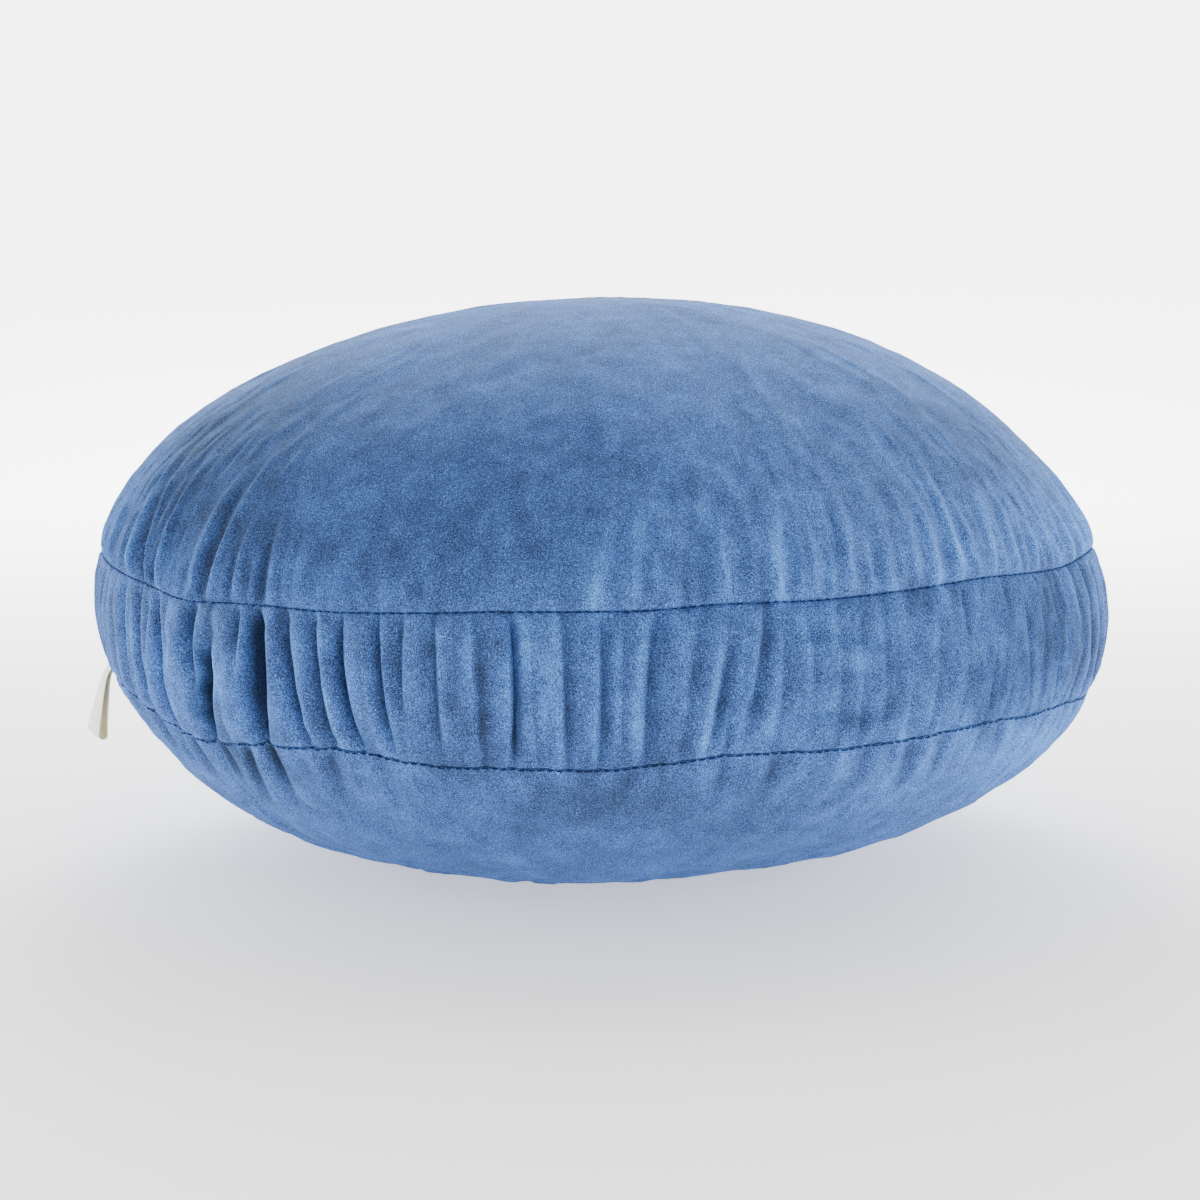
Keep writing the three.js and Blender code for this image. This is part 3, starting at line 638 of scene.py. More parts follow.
def surface(azimuth, fold, reach, push=0.0):
    """Points of the cover in mm, pushed out by the filling, and for each one its tone with painted
    highlights and shade, how much painted shade darkens it in creases and furrows, and how close it is
    to a seam, the last two from 0 to 1."""
    arc, far, share, height = where_on_cover(azimuth, reach)
    from_seam = np.minimum(far["top"], far["bottom"])
    on_band = (reach >= 0) & (reach <= 1)
    sag, slide, shade = band_creases(azimuth, share, height)
    fade = np.where(on_band, 1, np.exp(-from_seam / PUCKER_REACH))
    rise = panel_rise(TOP_FOLDS, azimuth, far["top"], reach > 1)
    fall = panel_rise(BOTTOM_FOLDS, azimuth, far["bottom"], reach < 0)
    gathered = np.where(on_band, 1, GATHERED * np.exp(-from_seam / GATHERED_REACH))
    fine = RIB_HEIGHT * ribs(fold, arc, *RIBS) + THREAD_HEIGHT * ribs(fold, arc, *THREADS)
    scallops = SCALLOP_HEIGHT * ribs(fold, arc, *SCALLOPS) * np.exp(-from_seam / SCALLOP_REACH)
    flat = body_point(azimuth, arc, 0)
    lumps = LUMP_HEIGHT * lattice(flat[:, 0] / LUMP_SIZE, flat[:, 1] / LUMP_SIZE, LATTICE_ROWS, 1)
    lumps = lumps * np.where(on_band, 0, 1 - np.exp(-from_seam / LUMPS_CLEAR))
    relief = BAND_SWELL * np.sin(math.pi * share) - sag * fade + rise + fall
    relief = relief + fine * gathered * seam_hold(from_seam) + scallops + lumps + push
    relief = relief + draw_in(far["top"]) + draw_in(far["bottom"])
    pressed = smooth_step(arc, ARC_PATCH, ARC_PATCH + PATCH_RIM)
    streaks = sum(ribs(fold, arc, *kind) for kind in STREAKS)
    # Painted highlight on raised cloth and painted shade in its hollows, random streaks along the folds,
    # the painted shade and highlight beside the band's creases, and the marks
    tone_with_painted_shading = TOP_TONE * rise + BOTTOM_TONE * fall
    tone_with_painted_shading = tone_with_painted_shading + (RIPPLE_TONE * fine + STREAK_TONE * streaks) * gathered + SCALLOP_TONE * scallops
    tone_with_painted_shading -= SHADE_TONE * shade * fade
    tone, foot = marks_of_tone_and_shade(azimuth, arc)
    tone_with_painted_shading = (tone_with_painted_shading + tone) * pressed
    # Painted shade in deep creases and in the panels' furrows, and where the marks lay it
    deep = smooth_step(sag * fade, **CREASE_DARK) * CREASE_DARKEST
    deep = np.maximum(deep, FURROW_DARKEST * smooth_step(-(rise + fall), **FURROW_DARK))
    deep = 1 - (1 - deep) * (1 - foot)
    seam = [SEAM_DARKEST[name] * np.exp(-((far[name] / SEAM_DARK_HALF[name]) ** 2)) for name in far]
    # Tone with painted highlights and shade, painted shade of creases and furrows, and the seams' dark line
    felt = np.stack([tone_with_painted_shading, deep * pressed, np.maximum(*seam)], axis=-1)
    return body_point(azimuth + np.degrees(slide * fade / RADIUS), arc, relief * pressed), felt


# Lines of the cage follow the creases, a little closer together there, and rows follow the seams. A
# panel's rows are mm from its seam: on some of them every line goes on, on the next every second one,
# and so on.
LINE_SPACING = 0.66  # degrees
LINE_CROWDING = 0.4
EVEN_FROM, EVEN_TO = 20, 120  # how far from a seam a panel's lines start to even out, and are even
BAND_ROWS = np.array([
    0, 0.8, 1.9, 3.6, 6.4, 10.4, 15, 20, 25, 30, 35, 39.6, 43.6, 46.4, 48.1, 49.2, 50,
]) / 50
PANEL_ROWS = {
    "top": {
        1: [0.8, 1.9, 3.6, 6.6, 10.6, 16, 22.5, 30, 38.5, 48, 58.5],
        2: [70, 82, 95, 109, 124],
        4: [141, 159, 178],
        8: [197, 215],
    },
    "bottom": {
        1: [0.8, 1.9, 3.6, 6.6, 10.6, 16, 23, 31],
        2: [40, 51, 64, 78, 93, 108, 123, 138],
        4: [160, 184],
        8: [205],
    },
}
PANEL_SPAN = {
    "top": float(ARC_CROWN - seam_arc(np.array([0.0]), "top")[0]),
    "bottom": float(seam_arc(np.array([0.0]), "bottom")[0] - ARC_MIDDLE),
}


def cage_lines():
    """Azimuths of the lines at the bottom seam, at each row of the band and at the top seam."""
    order = GATHERS[np.argsort(GATHERS["top"])]
    gaps = np.diff(np.append(order["top"], order["top"][0] + 360))
    counts = np.maximum(np.round(gaps / LINE_SPACING), 2).astype(int)
    while counts.sum() % 8:  # the panels' innermost rings keep an eighth of the lines
        counts[np.argmax(gaps / counts)] += 1
    lines = []
    for i, gather in enumerate(order):
        after = order[(i + 1) % len(order)]
        start = crease_azimuth(gather, BAND_ROWS)
        gap = (crease_azimuth(after, BAND_ROWS) - start) % 360
        for k in range(counts[i]):
            t = k / counts[i]
            lines.append(start + gap * (t - LINE_CROWDING * math.sin(2 * math.pi * t) / (2 * math.pi)))
    return np.array(lines)


def cage_rings():
    """Rings of the cage, lowest first, each a list of azimuths, fold azimuths and reaches."""
    lines = cage_lines()
    middle = lines[:, len(BAND_ROWS) // 2]
    rings = {"bottom": [], "top": []}
    for panel, sign, at_seam in (("bottom", -1, lines[:, 0]), ("top", 1, lines[:, -1])):
        even = at_seam[0] + np.arange(len(lines)) * 360 / len(lines)
        even = even + np.mean(wrap(at_seam - even))
        for skip, distances in PANEL_ROWS[panel].items():
            for distance in distances:
                share = distance / PANEL_SPAN[panel]
                loose = smooth_step(distance, EVEN_FROM, EVEN_TO)
                azimuth = at_seam + wrap(even - at_seam) * loose
                reach = share * sign + (1 if sign > 0 else 0)
                rings[panel].append((azimuth[::skip], (middle + (azimuth - at_seam))[::skip], reach))
    band = [(lines[:, i], middle, share) for i, share in enumerate(BAND_ROWS)]
    return rings["bottom"][::-1] + band + rings["top"]


def ring_faces(low, high, low_start, high_start):
    """Faces between two rings, the second of which may have as many points, half or twice as many."""
    if low < high:
        return [face[::-1] for face in ring_faces(high, low, high_start, low_start)]
    faces = []
    for i in range(high):
        after = (i + 1) % high
        d, e = high_start + after, high_start + i
        if low == high:
            faces.append((low_start + i, low_start + after, d, e))
        else:
            a, b, c = low_start + 2 * i, low_start + 2 * i + 1, low_start + 2 * after
            faces += [(a, b, e), (b, c, d, e)]
    return faces


def cushion_cage():
    """The cover's cage: places, and faces that close over the crown and under the patch."""
    rings = cage_rings()
    azimuth = np.concatenate([[0], *[ring[0] for ring in rings], [0]])
    fold = np.concatenate([[0], *[ring[1] for ring in rings], [0]])
    reach = np.concatenate([[-1], *[np.full(len(ring[0]), ring[2]) for ring in rings], [2]])
    starts = 1 + np.concatenate([[0], np.cumsum([len(ring[0]) for ring in rings])])
    faces = []
    for i in range(len(rings) - 1):
        faces += ring_faces(len(rings[i][0]), len(rings[i + 1][0]), starts[i], starts[i + 1])
    first, last = len(rings[0][0]), len(rings[-1][0])
    crown = len(azimuth) - 1
    faces += [(0, 1 + (i + 1) % first, 1 + i) for i in range(first)]
    faces += [(crown, starts[-2] + i, starts[-2] + (i + 1) % last) for i in range(last)]
    spans = [(int(starts[i]), len(ring[0])) for i, ring in enumerate(rings)]
    return azimuth, fold, reach, [tuple(int(v) for v in face) for face in faces], spans


def store(mesh, name, values):
    """One number, or three, on each point of a mesh."""
    three = values.ndim == 2
    attribute = mesh.attributes.new(name, "FLOAT_VECTOR" if three else "FLOAT", "POINT")
    attribute.data.foreach_set("vector" if three else "value", values.astype(np.float32).ravel())


def read(mesh, name):
    """What store put on a mesh, carried over to its finer points."""
    attribute = mesh.attributes[name]
    three = attribute.data_type == "FLOAT_VECTOR"
    values = np.zeros(len(mesh.vertices) * (3 if three else 1), np.float32)
    attribute.data.foreach_get("vector" if three else "value", values)
    return values.reshape(-1, 3).astype(float) if three else values.astype(float)


def show(name, data):
    """An object of a mesh, a light or a camera, at the origin."""
    piece = bpy.data.objects.new(name, data)
    bpy.context.scene.collection.objects.link(piece)
    return piece


azimuth, fold, reach, faces, rings = cushion_cage()
cage = bpy.data.meshes.new("cushion")
cage.from_pydata(surface(azimuth, fold, reach)[0] * MM, [], faces)
cushion = show("cover", cage)

# The filling presses out against the cloth, which the seams, the creases and the floor hold back
CLOTH = {
    "mass": 0.001,  # kg at each point of the cage
    "tension_stiffness": 5,
    "compression_stiffness": 5,
    "shear_stiffness": 1,
    "bending_stiffness": 0.01,
    "shrink_min": -0.03,  # share by which the cloth is cut wider than it lies, below zero
    "vertex_group_mass": "held",
    "pin_stiffness": 1,  # how firmly held points keep their place
    "use_pressure": True,
    "uniform_pressure_force": 4,
    "quality": 5,  # steps in each frame
}
FRAMES = 20
HELD_AT = 4  # a crease this deep is held fast, and so is the cloth this near a seam
HELD_REACH = 2
EVEN_OUT = 14  # swells of the cover with fewer waves round the pillow than this are levelled again
MOST_PUSH = 1.2  # mm


def now(piece):
    """The piece's mesh with its modifiers carried out."""
    return bpy.data.meshes.new_from_object(piece.evaluated_get(bpy.context.evaluated_depsgraph_get()))


def keep_smooth(piece):
    """Keeps the mesh that the piece's modifiers make, and shades it smooth."""
    piece.data = now(piece)
    piece.modifiers.clear()
    piece.data.shade_smooth()


def press_out(piece, held):
    """How far the filling moves each point of the cover in mm, from a short cloth simulation."""
    rest = np.array([v.co for v in piece.data.vertices])
    group = piece.vertex_groups.new(name="held")
    for index, weight in enumerate(held):
        group.add([index], float(weight), "REPLACE")
    cloth = piece.modifiers.new("cloth", "CLOTH")
    for name, value in CLOTH.items():
        setattr(cloth.settings, name, value)
    cloth.settings.effector_weights.gravity = 0
    cloth.point_cache.frame_start = 1
    cloth.point_cache.frame_end = FRAMES
    for step in range(1, FRAMES + 1):
        bpy.context.scene.frame_set(step)
    pressed = now(piece)
    moved = (np.array([v.co for v in pressed.vertices]) - rest) / MM
    bpy.data.meshes.remove(pressed)
    piece.modifiers.remove(cloth)
    piece.vertex_groups.clear()
    bpy.context.scene.frame_set(1)
    return moved


def cover_push():
    """The simulation's push out of the cloth at each point of the cage, in mm."""
    arc, far, share, height = where_on_cover(azimuth, reach)
    sag = band_creases(azimuth, share, height)[0]
    held = np.clip(sag / HELD_AT, 0, 1) * ((reach >= 0) & (reach <= 1))
    held = np.maximum(held, np.exp(-np.minimum(far["top"], far["bottom"]) / HELD_REACH))
    held = np.maximum(held, arc <= ARC_PATCH)
    moved = press_out(cushion, held)
    push = np.sum(moved * (body_point(azimuth, arc, 1) - body_point(azimuth, arc, 0)), axis=1)
    for start, count in rings:
        ring = np.fft.rfft(push[start:start + count])
        ring[:EVEN_OUT] = 0
        push[start:start + count] = np.fft.irfft(ring, count)
    push[[0, -1]] = 0
    return MOST_PUSH * np.tanh(push / MOST_PUSH)


push = cover_push()

turn = np.radians(azimuth)
pole = (reach <= -1) | (reach >= 2)
store(cage, "place", np.stack([np.sin(turn) * ~pole, np.cos(turn) * ~pole, reach], axis=-1))
store(cage, "fold_turn", fold - azimuth)
store(cage, "push", push)

subdivision = cushion.modifiers.new("finer", "SUBSURF")
subdivision.subdivision_type = "SIMPLE"
subdivision.levels = subdivision.render_levels = 1
keep_smooth(cushion)
finer = cushion.data
place = read(finer, "place")
fine_azimuth = np.degrees(np.arctan2(place[:, 0], place[:, 1]))
fine_fold = fine_azimuth + read(finer, "fold_turn")
fine_reach = place[:, 2]
points, felt = surface(fine_azimuth, fine_fold, fine_reach, read(finer, "push"))
finer.vertices.foreach_set("co", (points * MM).astype(np.float32).ravel())
finer.update()

# Which way the pile lies: each panel was cut with its own direction, and handling brushes it about
NAP = {"bottom": (0.0, 0.0, -0.2), "band": (-0.3, 0, 0.1), "top": (0.35, 0.0, 0)}
nap = np.zeros((len(points), 3))
nap[fine_reach < 0] = NAP["bottom"]
nap[(fine_reach >= 0) & (fine_reach <= 1)] = NAP["band"]
nap[fine_reach > 1] = NAP["top"]
store(finer, "nap", nap)
store(finer, "relief", felt)


def give(tree, node, inputs):
    """Sets each named input of a node, or joins it to another node's output."""
    for name, value in inputs.items():
        if isinstance(value, bpy.types.NodeSocket):
            tree.links.new(value, node.inputs[name])
        else:
            node.inputs[name].default_value = value


def add(tree, kind, inputs=None, **settings):
    """A new node with its settings and inputs."""
    node = tree.nodes.new(kind)
    for name, value in settings.items():
        setattr(node, name, value)
    give(tree, node, inputs or {})
    return node


def maths(tree, operation, *values):
    return add(tree, "ShaderNodeMath", dict(enumerate(values)), operation=operation).outputs[0]


def mottling(tree, coordinates, scale, detail, roughness, swing):
    """An uneven pattern, and the change of tone it makes: from -swing where it is low up to swing."""
    sizes = {"Vector": coordinates, "Scale": scale, "Detail": detail, "Roughness": roughness}
    pattern = add(tree, "ShaderNodeTexNoise", sizes).outputs["Fac"]
    limits = {"Value": pattern, "From Min": 0.3, "From Max": 0.7, "To Min": -swing, "To Max": swing}
    return pattern, add(tree, "ShaderNodeMapRange", limits).outputs["Result"]


def new_material(name):
    """A material, its nodes and its shader."""
    material = bpy.data.materials.new(name)
    material.use_nodes = True
    return material, material.node_tree, material.node_tree.nodes["Principled BSDF"]


# The velvet's colour, how strongly each part of it swings with the tone, which carries the lie of the pile
# and painted light and shade, and what is left of it in the bottom of a crease under the deepest painted
# shade
VELVET = (0.059, 0.120, 0.319)
VELVET_SWING = (0.42, 0.62, 0.8)
VELVET_PALEST = 0.9
VELVET_IN_FULL_SHADE = (0.004, 0.007, 0.016)
# The pile's grain, the marks of a hand and wide patches: scale, detail, roughness and swing of each
PILE = (2300, 2, 0.8, 2.4)
MARKS = (110, 3, 0.6, 0.34)
PATCHES = (28, 3, 0.55, 0.3)
# Painted light and shade come into the tone through the relief and through the marks
RELIEF_SWING = 0.24  # change of tone for each unit of a brush mark or of the relief
PILE_BUMP = 0.0006  # metres


def velvet_material():
    """Short blue velvet: dark face on, pale along its edges, mottled, with painted highlights and shade."""
    material, tree, shader = new_material("velvet")
    coordinates = add(tree, "ShaderNodeTexCoord").outputs["Object"]
    pile, tone = mottling(tree, coordinates, *PILE)
    for pattern in (MARKS, PATCHES):
        tone = maths(tree, "ADD", tone, mottling(tree, coordinates, *pattern)[1])
    # The stored relief: tone with painted highlights and shade, painted shade of creases and furrows, and
    # the seams' dark line
    relief = add(tree, "ShaderNodeAttribute", attribute_name="relief").outputs["Vector"]
    raised, deep, seam = add(tree, "ShaderNodeSeparateXYZ", {0: relief}).outputs
    tone = maths(tree, "ADD", tone, maths(tree, "MULTIPLY", raised, RELIEF_SWING))
    dark = maths(tree, "SUBTRACT", 1, maths(tree, "MAXIMUM", deep, seam))
    colour = []
    for middle, swing, deepest in zip(VELVET, VELVET_SWING, VELVET_IN_FULL_SHADE):
        lively = maths(tree, "EXPONENT", maths(tree, "MULTIPLY", tone, swing))
        lively = maths(tree, "MINIMUM", maths(tree, "MULTIPLY", middle, lively), VELVET_PALEST)
        colour.append(maths(tree, "ADD", maths(tree, "MULTIPLY", lively, dark), deepest))
    nap_way = add(tree, "ShaderNodeAttribute", attribute_name="nap").outputs["Vector"]
    normal = add(tree, "ShaderNodeNewGeometry").outputs["Normal"]
    tilted = add(tree, "ShaderNodeVectorMath", {0: normal, 1: nap_way}, operation="ADD").outputs[0]
    tilted = add(tree, "ShaderNodeVectorMath", {0: tilted}, operation="NORMALIZE").outputs[0]
    bump = {"Strength": 0.7, "Distance": PILE_BUMP, "Height": pile, "Normal": tilted}
    give(tree, shader, {
        "Base Color": add(tree, "ShaderNodeCombineColor", dict(enumerate(colour))).outputs[0],
        "Roughness": 0.95,
        "Specular IOR Level": 0.12,
        "Sheen Weight": 0.12,
        "Sheen Roughness": 0.3,
        "Sheen Tint": (0.3, 0.7, 1, 1),
        "Normal": add(tree, "ShaderNodeBump", bump).outputs["Normal"],
    })
    return material


velvet = velvet_material()
finer.materials.append(velvet)
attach(cushion, "root")
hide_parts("cushion")

# The stitching: both seams are sewn from the inside with dark blue polyester thread, and a row of
# short stitches shows in the bottom of each furrow where the filling pulls the seam open.
STITCH_PITCH = 3.2
STITCH_LENGTH = 2.4
STITCH_RISE = 0.3  # how far the middle of a stitch stands over its ends
STITCH_LIFT = 0.3  # how far the row lies over the side of the furrow
STITCH_DROP = 0.4  # and below its bottom, half as far at the top seam
STITCH_POINT = 0.35  # share of the thread's thickness that is left at a stitch's ends
THREAD_RADIUS = 0.24
THREAD_SIDES = 6
STITCH_SKEW = 0.09  # most that a stitch is turned off its line, in radians
STITCH_SEED = 5


def seam_rows():
    """A closed line along each seam's furrow, with the way out of the cloth."""
    around = np.arange(0, 360, 0.25)
    points, outward, edges = [], [], []
    bottom, top = seam_arc(around, "bottom"), seam_arc(around, "top")
    below_bottom = -STITCH_DROP / (bottom - ARC_MIDDLE)
    below_top = 1 - 0.5 * STITCH_DROP / (top - bottom)
    for reach, arc in ((below_bottom, bottom), (below_top, top)):
        out = body_point(around, arc, 1) - body_point(around, arc, 0)
        first = len(points) * len(around)
        points.append(surface(around, around, reach)[0] + STITCH_LIFT * out)
        outward.append(out)
        edges += [(first + i, first + (i + 1) % len(around)) for i in range(len(around))]
    mesh = bpy.data.meshes.new("stitches")
    mesh.from_pydata(np.concatenate(points) * MM, edges, [])
    store(mesh, "out", np.concatenate(outward))
    return mesh


def stitch_nodes(thread):
    """Geometry nodes that lay one bent, pointed stitch after another along a line."""
    tree = bpy.data.node_groups.new("stitches", "GeometryNodeTree")
    tree.interface.new_socket("Geometry", in_out="INPUT", socket_type="NodeSocketGeometry")
    for name in ("Pitch", "Length", "Rise", "Thread radius", "Skew"):
        tree.interface.new_socket(name, in_out="INPUT", socket_type="NodeSocketFloat")
    tree.interface.new_socket("Seed", in_out="INPUT", socket_type="NodeSocketInt")
    tree.interface.new_socket("Geometry", in_out="OUTPUT", socket_type="NodeSocketGeometry")
    given = add(tree, "NodeGroupInput").outputs

    # One stitch: thread bent over the cloth, with its ends sunk and drawn to points
    sunk = maths(tree, "MULTIPLY", given["Rise"], -1)
    ends = []
    for half in (-0.5, 0.5):
        place = {"X": maths(tree, "MULTIPLY", given["Length"], half), "Z": sunk}
        ends.append(add(tree, "ShaderNodeCombineXYZ", place).outputs[0])
    middle = add(tree, "ShaderNodeCombineXYZ", {"Z": given["Rise"]}).outputs[0]
    bend = {"Resolution": 5, "Start": ends[0], "Middle": middle, "End": ends[1]}
    bow = add(tree, "GeometryNodeCurveQuadraticBezier", bend).outputs[0]
    share = add(tree, "GeometryNodeSplineParameter").outputs["Factor"]
    taper = add(tree, "ShaderNodeFloatCurve", {"Value": share})
    width = taper.mapping.curves[0].points
    width[0].location = (0, STITCH_POINT)
    width[1].location = (1, STITCH_POINT)
    width.new(0.25, 0.95)
    width.new(0.75, 0.95)
    taper.mapping.update()
    bow = add(tree, "GeometryNodeSetCurveRadius", {"Curve": bow, "Radius": taper.outputs[0]}).outputs[0]
    section = {"Resolution": THREAD_SIDES, "Radius": given["Thread radius"]}
    section = add(tree, "GeometryNodeCurvePrimitiveCircle", section).outputs[0]
    parts = {"Curve": bow, "Profile Curve": section, "Fill Caps": True}
    stitch = add(tree, "GeometryNodeCurveToMesh", parts)
    if "Scale" in stitch.inputs:
        give(tree, stitch, {"Scale": taper.outputs[0]})

    # The row: a stitch at every pitch, along the line and upright on the cloth, each a little askew
    line = add(tree, "GeometryNodeMeshToCurve", {0: given["Geometry"]}).outputs[0]
    spaced = {"Curve": line, "Length": given["Pitch"]}
    spaced = add(tree, "GeometryNodeResampleCurve", spaced, mode="LENGTH").outputs[0]
    tangent = add(tree, "GeometryNodeInputTangent").outputs[0]
    outward = add(tree, "GeometryNodeInputNamedAttribute", {"Name": "out"}, data_type="FLOAT_VECTOR")
    align = "FunctionNodeAlignRotationToVector"
    along = add(tree, align, {"Vector": tangent}, axis="X").outputs[0]
    facing = {"Rotation": along, "Vector": outward.outputs["Attribute"]}
    upright = add(tree, align, facing, axis="Z", pivot_axis="X").outputs[0]
    limits = {2: maths(tree, "MULTIPLY", given["Skew"], -1), 3: given["Skew"], "Seed": given["Seed"]}
    askew = add(tree, "FunctionNodeRandomValue", limits, data_type="FLOAT").outputs[1]
    askew = add(tree, "ShaderNodeCombineXYZ", {"Z": askew}).outputs[0]
    turned = {"Rotation": upright, "Rotate By": askew}
    turned = add(tree, "FunctionNodeRotateRotation", turned, rotation_space="LOCAL").outputs[0]
    row = {"Points": spaced, "Instance": stitch.outputs[0], "Rotation": turned}
    row = add(tree, "GeometryNodeInstanceOnPoints", row).outputs[0]
    row = add(tree, "GeometryNodeRealizeInstances", {0: row}).outputs[0]
    row = add(tree, "GeometryNodeSetMaterial", {"Geometry": row, "Material": thread}).outputs[0]
    add(tree, "NodeGroupOutput", {0: row})
    return tree


thread, thread_tree, thread_shader = new_material("thread")
give(thread_tree, thread_shader, {
    "Base Color": (0.01, 0.022, 0.08, 1),
    "Roughness": 0.9,
    "Specular IOR Level": 0.1,
})
stitches = show("seam_stitches", seam_rows())
sewing = stitches.modifiers.new("sewing", "NODES")
sewing.node_group = stitch_nodes(thread)
STITCH_SIZES = {
    "Pitch": STITCH_PITCH * MM,
    "Length": STITCH_LENGTH * MM,
    "Rise": STITCH_RISE * MM,
    "Thread radius": THREAD_RADIUS * MM,
    "Skew": STITCH_SKEW,
    "Seed": STITCH_SEED,
}
for socket in sewing.node_group.interface.items_tree:
    if socket.name in STITCH_SIZES:
        sewing[socket.identifier] = STITCH_SIZES[socket.name]
keep_smooth(stitches)
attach(stitches, "root")

# The label: a short length of smooth white woven tape, folded double and sewn into the bottom seam by
# its two cut ends, so that it hangs from the pillow's left as a loop. It is left bare.
LABEL_AT = -84.5
TAPE_WIDTH = 22
TAPE_THICKNESS = 0.35
ROOT_APART = 0.3  # from the middle of the loop to each layer, at the seam and at the fold
FOLD_APART = 1.8
LABEL_TWIST = 17  # degrees that the hanging end turns
TAPE_COLUMNS, TAPE_STEPS, TAPE_FOLD_STEPS = 24, 44, 10
TAPE_WAVE = 0.12  # how far the hanging end waves out and in, and radians of the wave for each mm
WAVE_ACROSS, WAVE_ALONG = 0.55, 0.21
WARP_PITCH, WEFT_PITCH = 0.5, 0.6  # of the tape's threads

# Middle line of the hanging loop: out from the cover and down from the seam, in mm
LABEL_HANG = rows("out down", [
    (-3, -0.4),
    (-1.45, 0),
    (1.2, 0.7),
    (3.4, 4),
    (5, 10),
    (6.6, 18),
    (7.9, 26.4),
])


def tape_path():
    """The tape from one cut end to the other: out, height and share of the way down the loop."""
    step = np.arange(len(LABEL_HANG), dtype=float)
    share = np.linspace(0, 1, TAPE_STEPS)
    out = through(step, LABEL_HANG["out"], share * step[-1])
    height = -through(step, LABEL_HANG["down"], share * step[-1])
    along = np.stack([np.gradient(out), np.gradient(height)])
    along /= np.hypot(*along)
    apart = ROOT_APART + (FOLD_APART - ROOT_APART) * share ** 2
    outer = np.stack([out - along[1] * apart, height + along[0] * apart, share])
    inner = np.stack([out + along[1] * apart, height - along[0] * apart, share])
    angle = np.linspace(0, math.pi, TAPE_FOLD_STEPS + 1)[1:-1]
    side, past = FOLD_APART * np.cos(angle), FOLD_APART * np.sin(angle)
    fold_x = out[-1] - along[1, -1] * side + along[0, -1] * past
    fold_y = height[-1] + along[0, -1] * side + along[1, -1] * past
    return np.concatenate([outer, np.stack([fold_x, fold_y, np.ones_like(angle)]), inner[:, ::-1]], axis=1)


def label_mesh():
    out, height, share = tape_path()
    run = np.concatenate([[0], np.cumsum(np.hypot(np.diff(out), np.diff(height)))])
    across = np.linspace(-0.5, 0.5, TAPE_COLUMNS + 1) * TAPE_WIDTH
    root = body_point(np.array([LABEL_AT]), seam_arc(np.array([LABEL_AT]), "bottom"), 0)
    points, places = [], []
    for column in across:
        azimuth = np.array([LABEL_AT + math.degrees(column / RADIUS)])
        seam = body_point(azimuth, seam_arc(azimuth, "bottom"), 0) - root
        wave = TAPE_WAVE * share * np.sin(column * WAVE_ACROSS + run * WAVE_ALONG)
        turn = math.radians(azimuth[0])
        twist = np.radians(LABEL_TWIST) * share
        x = (out + wave) * math.sin(turn) + seam[0, 0]
        y = -(out + wave) * math.cos(turn) + seam[0, 1]
        turned_x = x * np.cos(twist) - y * np.sin(twist)
        turned_y = x * np.sin(twist) + y * np.cos(twist)
        points.append(np.stack([turned_x, turned_y, height + seam[0, 2]], axis=-1) + root)
        places.append(np.stack([np.full_like(run, column), run], axis=-1))
    count = len(run)
    faces = [(c * count + i, (c + 1) * count + i, (c + 1) * count + i + 1, c * count + i + 1)
             for c in range(TAPE_COLUMNS) for i in range(count - 1)]
    mesh = bpy.data.meshes.new("label")
    mesh.from_pydata(np.concatenate(points) * MM, [], faces)
    weave = mesh.uv_layers.new(name="tape")
    places = np.concatenate(places)
    corners = np.array([corner.vertex_index for corner in mesh.loops])
    weave.data.foreach_set("uv", places[corners].astype(np.float32).ravel())
    return mesh, run[-1]


tape, tape_length = label_mesh()
label = show("label_loop", tape)
thick = label.modifiers.new("thick", "SOLIDIFY")
thick.thickness = TAPE_THICKNESS * MM
thick.offset = 0
keep_smooth(label)


def label_tape_material():
    """Smooth off-white tape with a fine plain weave, seen only in the gloss of its threads."""
    material, tree, shader = new_material("label_tape")
    own = add(tree, "ShaderNodeUVMap", uv_map="tape").outputs["UV"]
    across, along = add(tree, "ShaderNodeSeparateXYZ", {0: own}).outputs[:2]
    warp = maths(tree, "SINE", maths(tree, "MULTIPLY", across, 2 * math.pi / WARP_PITCH))
    weft = maths(tree, "SINE", maths(tree, "MULTIPLY", along, 2 * math.pi / WEFT_PITCH))
    bump = {"Strength": 0.5, "Distance": 0.00005, "Height": maths(tree, "MULTIPLY", warp, weft)}
    give(tree, shader, {
        "Base Color": (0.9, 0.86, 0.74, 1),
        "Roughness": 0.75,
        "Subsurface Weight": 1,
        "Subsurface Radius": (1, 0.75, 0.25),
        "Subsurface Scale": 0.0012,
        "Normal": add(tree, "ShaderNodeBump", bump).outputs["Normal"],
    })
    return material


label.data.materials.append(label_tape_material())
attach(label, "root")
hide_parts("label")

# The studio: a pale paper sweep that lies under the pillow and curves up behind it, where it glows and
# pales the cover's edges, with four softboxes round the pillow in a plain white room
SWEEP_DROP = 0.0004  # below the pillow, in metres
SWEEP_WIDTH = 14
SWEEP_FRONT, SWEEP_BEND, SWEEP_BACK, SWEEP_TOP = -6, 1.2, 2.4, 6
GLOW_NEAR, GLOW_FAR = 0.75, 4.25
GLOW_FROM, GLOW_TO = 0.1, 1.5  # where along Y the glow starts to grow, and where it is whole
ROOM_LIGHT = 0.525


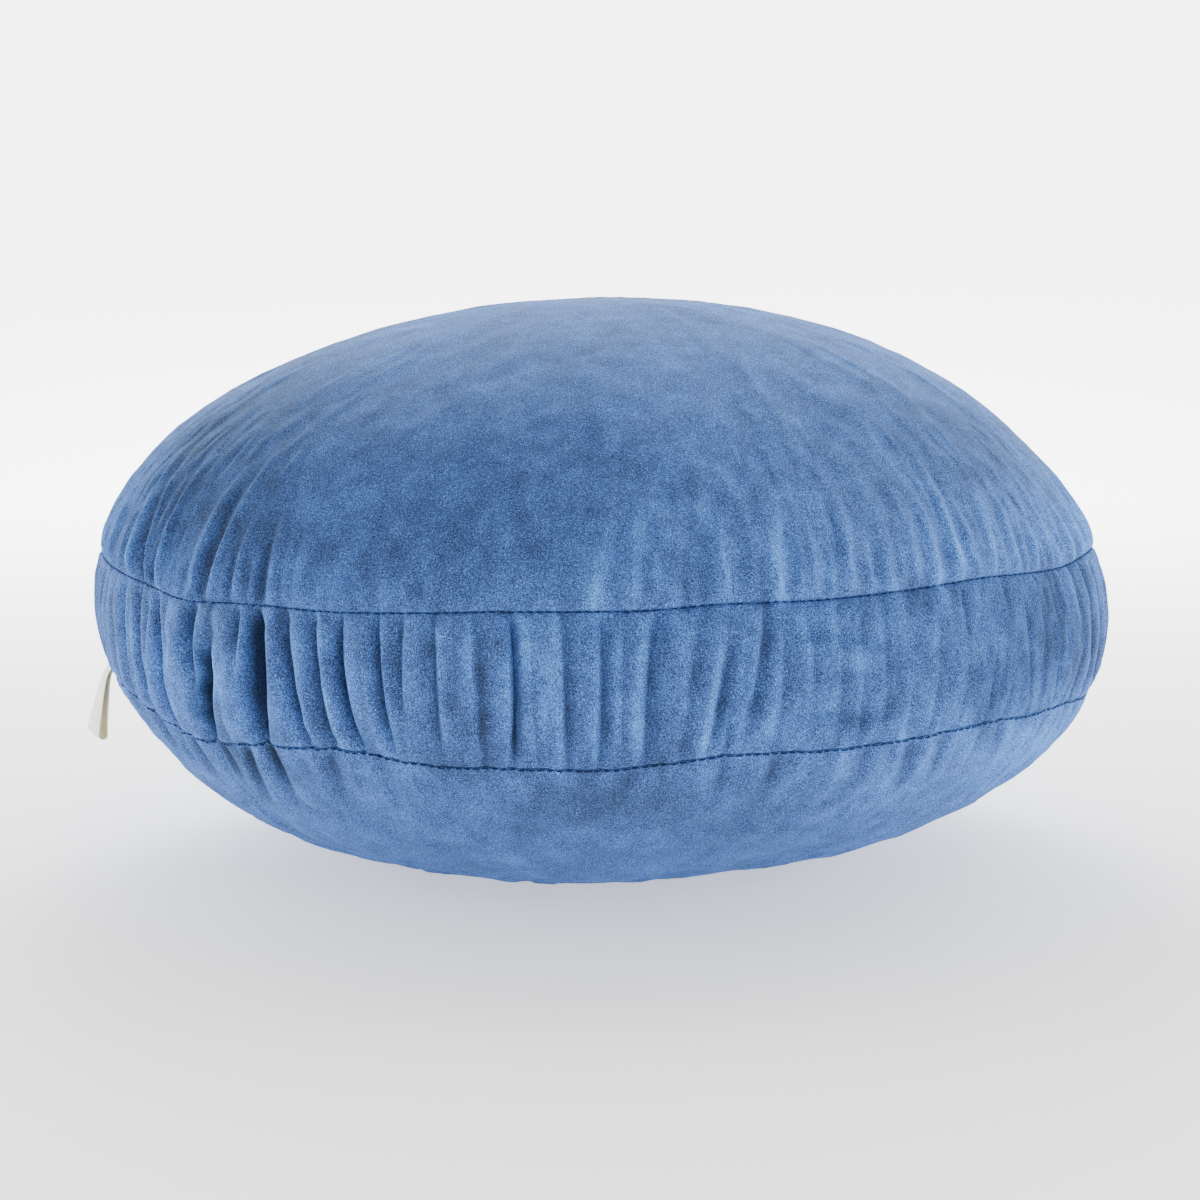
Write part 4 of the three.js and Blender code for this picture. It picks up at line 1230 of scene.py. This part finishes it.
def sweep_mesh():
    turn = np.linspace(0, math.pi / 2, 25)
    bend = SWEEP_BACK - SWEEP_BEND
    line = [(SWEEP_FRONT, 0), (-1, 0)]
    line += [(SWEEP_BEND + bend * math.sin(a), bend * (1 - math.cos(a))) for a in turn]
    line += [(SWEEP_BACK, SWEEP_TOP)]
    points = [(side * SWEEP_WIDTH / 2, y, z - SWEEP_DROP) for y, z in line for side in (-1, 1)]
    faces = [(2 * i, 2 * i + 1, 2 * i + 3, 2 * i + 2) for i in range(len(line) - 1)]
    mesh = bpy.data.meshes.new("sweep")
    mesh.from_pydata(points, [], faces)
    mesh.shade_smooth()
    return mesh


def sweep_material():
    """Pale paper that glows towards the back."""
    material, tree, shader = new_material("sweep")
    coordinates = add(tree, "ShaderNodeTexCoord").outputs["Object"]
    back = add(tree, "ShaderNodeSeparateXYZ", {0: coordinates}).outputs["Y"]
    climb = {"Value": back, "From Min": GLOW_FROM, "From Max": GLOW_TO}
    climb |= {"To Min": GLOW_NEAR, "To Max": GLOW_FAR}
    glow = add(tree, "ShaderNodeMapRange", climb, interpolation_type="SMOOTHSTEP")
    give(tree, shader, {
        "Base Color": (0.85, 0.85, 0.85, 1),
        "Roughness": 0.9,
        "Specular IOR Level": 0.1,
        "Emission Color": (1, 1, 1, 1),
        "Emission Strength": glow.outputs["Result"],
    })
    return material


sweep = show("sweep", sweep_mesh())
sweep.data.materials.append(sweep_material())

world = bpy.data.worlds.new("studio")
bpy.context.scene.world = world
world.use_nodes = True
give(world.node_tree, world.node_tree.nodes["Background"], {"Color": (1, 1, 1, 1), "Strength": ROOM_LIGHT})

SOFTBOX = 0.7  # metres each way
AIM = Vector((0, 0, 0.12))


def soft_light(name, place, power):
    """A square softbox turned towards the middle of the pillow."""
    data = bpy.data.lights.new(name, "AREA")
    data.shape = "SQUARE"
    data.size = SOFTBOX
    data.energy = power
    light = show(name, data)
    light.location = place
    light.rotation_euler = (AIM - Vector(place)).to_track_quat("-Z", "Y").to_euler()


soft_light("back", (-0.1, 1.38, 0.92), 35)
soft_light("right", (1.55, 0.1, 0.4), 12.5)
soft_light("left", (-1.55, 0.1, 0.4), 15)
soft_light("front", (0.9, -1.3, 0.5), 6.2)

# The camera, as the photo's outline and seams place it
CAMERA_PLACE = (0, -1.060, 0.2499)
CAMERA_DIP = 8.28  # degrees below level
camera_data = bpy.data.cameras.new("camera")
camera_data.lens = 80
camera_data.sensor_width = 36
camera = show("camera", camera_data)
camera.location = CAMERA_PLACE
camera.rotation_euler = (math.radians(90 - CAMERA_DIP), 0, 0)
bpy.context.scene.camera = camera
